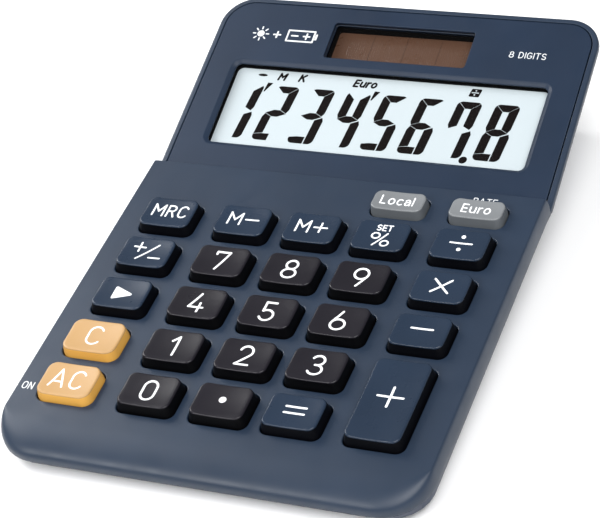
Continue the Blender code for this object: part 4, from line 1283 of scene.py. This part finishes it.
def box_sign(sheet, centre, half_x, half_y, stroke):
    """The outline of a rectangle."""
    corners = ((-1, -1), (1, -1), (1, 1), (-1, 1), (-1, -1))
    places = [(centre[0] + u * half_x, centre[1] + v * half_y) for u, v in corners]
    for start, end in zip(places, places[1:]):
        sheet.stroke([start, end], stroke)


def battery_sign(sheet, centre, width, height, stroke):
    """A battery seen from the side, with plus and minus."""
    x, y = centre
    half, tall = width / 2, height / 2
    box_sign(sheet, centre, half, tall, stroke)
    tip = x + half + stroke * 1.4
    sheet.stroke([(tip, y - tall * 0.4), (tip, y + tall * 0.4)], stroke * 1.3)
    arm = tall * 0.5
    for middle in (x - half * 0.45, x + half * 0.45):
        sheet.stroke([(middle - arm, y), (middle + arm, y)], stroke)
    sheet.stroke([(x + half * 0.45, y - arm), (x + half * 0.45, y + arm)], stroke)


def sun_sign(sheet, centre, radius, stroke):
    """A sun: a disc with eight rays."""
    sheet.patch(circle(*centre, radius * 0.46))
    inner, outer = circle(*centre, radius * 0.70, 8), circle(*centre, radius, 8)
    for near, far in zip(inner, outer):
        sheet.stroke([near, far], stroke)


def make_prints(coats):
    """Plain printed signs on the front panel and small words on the keypad's surface."""
    signs = Print(lambda x, y: 0.0)
    sun_sign(signs, (-37.6 * MM, 40.9 * MM), 2.1 * MM, 0.36 * MM)
    signs.stroke([(-34.0 * MM, 40.9 * MM), (-32.2 * MM, 40.9 * MM)], 0.45 * MM)
    signs.stroke([(-33.1 * MM, 40.0 * MM), (-33.1 * MM, 41.8 * MM)], 0.45 * MM)
    battery_sign(signs, (-26.6 * MM, 40.9 * MM), 7.2 * MM, 3.3 * MM, 0.45 * MM)
    signs.write("8 DIGITS", 33.5, 40.2, 1.9, 9.4, 0.23)
    signs.piece("panel_signs", DISPLAY, coats["pale_ink"], "casing", "display_panel")
    words = Print(lambda x, y: 0.0)
    words.write("ON", -48.1, 17.7, 2.2, 2.9, 0.27)
    words.write("RATE", 36.5, 90.9, 1.9, 5.8, 0.24)
    words.piece("deck_words", DECK, coats["pale_ink"], "casing", "upper_case")


# ---------------------------------------------------------------- camera, lights and floor


def make_camera():
    """A long lens from the front right, held with a slight roll."""
    azimuth, elevation, roll = (math.radians(a) for a in (30.381, 37.765, -13.090))
    distance = 0.53801
    target = Vector((-0.0022015, -0.0046810, 0.0112246))
    back = Vector((
        math.sin(azimuth) * math.cos(elevation),
        -math.cos(azimuth) * math.cos(elevation),
        math.sin(elevation),
    ))
    data = bpy.data.cameras.new("camera")
    data.lens = 139.9975
    data.sensor_width = 36
    data.clip_start = 0.01
    camera = bpy.data.objects.new("camera", data)
    bpy.context.scene.collection.objects.link(camera)
    camera.location = target + back * distance
    camera.rotation_mode = "QUATERNION"
    camera.rotation_quaternion = (-back).to_track_quat("-Z", "Y") @ Quaternion((0, 0, 1), roll)
    bpy.context.scene.camera = camera


def soft_light(name, place, size, power):
    data = bpy.data.lights.new(name, "AREA")
    data.shape = "RECTANGLE"
    data.size, data.size_y = size
    data.energy = power
    light = bpy.data.objects.new(name, data)
    bpy.context.scene.collection.objects.link(light)
    light.location = place
    light.rotation_mode = "QUATERNION"
    light.rotation_quaternion = (-Vector(place)).to_track_quat("-Z", "Y")


def make_studio():
    soft_light("top_light", (0.48, -0.45, 0.95), (0.9, 0.9), 16.0)
    soft_light("front_light", (-0.50, -0.80, 0.75), (0.5, 0.4), 7.0)
    soft_light("left_light", (-0.44, 0.14, 0.34), (0.28, 0.28), 2.3)
    world = bpy.data.worlds.new("studio")
    world.use_nodes = True
    sky = world.node_tree.nodes["Background"]
    sky.inputs["Color"].default_value = (1.0, 1.0, 1.0, 1)
    sky.inputs["Strength"].default_value = 0.32
    bpy.context.scene.world = world
    bpy.context.scene.view_settings.view_transform = "Standard"
    half = 2.0
    floor = mesh_of("floor", [[raised(circle(0, 0, half, 64), z) for z in (-0.02, 0.0)]])
    made, tree, shader = links_and_nodes("floor_paint")
    tone = mixed(tree, noise(tree, 0.3), (0.90, 0.90, 0.90), (0.93, 0.93, 0.93))
    tree.links.new(tone, shader.inputs["Base Color"])
    shader.inputs["Roughness"].default_value = 0.8
    shader.inputs["Specular IOR Level"].default_value = 0.1
    new_object("floor", floor, made)


# ---------------------------------------------------------------- the whole


def make_calculator():
    coats = make_materials()
    for node, coat in DRESSED.items():
        dress(node, coats[coat])
    make_upper_case(coats)
    make_display_panel(coats)
    make_gaskets(coats)
    make_keys(coats)
    make_mat(coats)
    make_lcd(coats)
    make_solar_film(coats)
    make_prints(coats)
    refined("lower_case", "lower_case_shell", coats["lower"], "lower_case", 0.00025)
    refined("battery_cover", "battery_lid", coats["lower"], "lower_case", 0.00020)
    make_screws(coats)
    make_feet(coats)
    make_label(coats)


make_calculator()
make_camera()
make_studio()
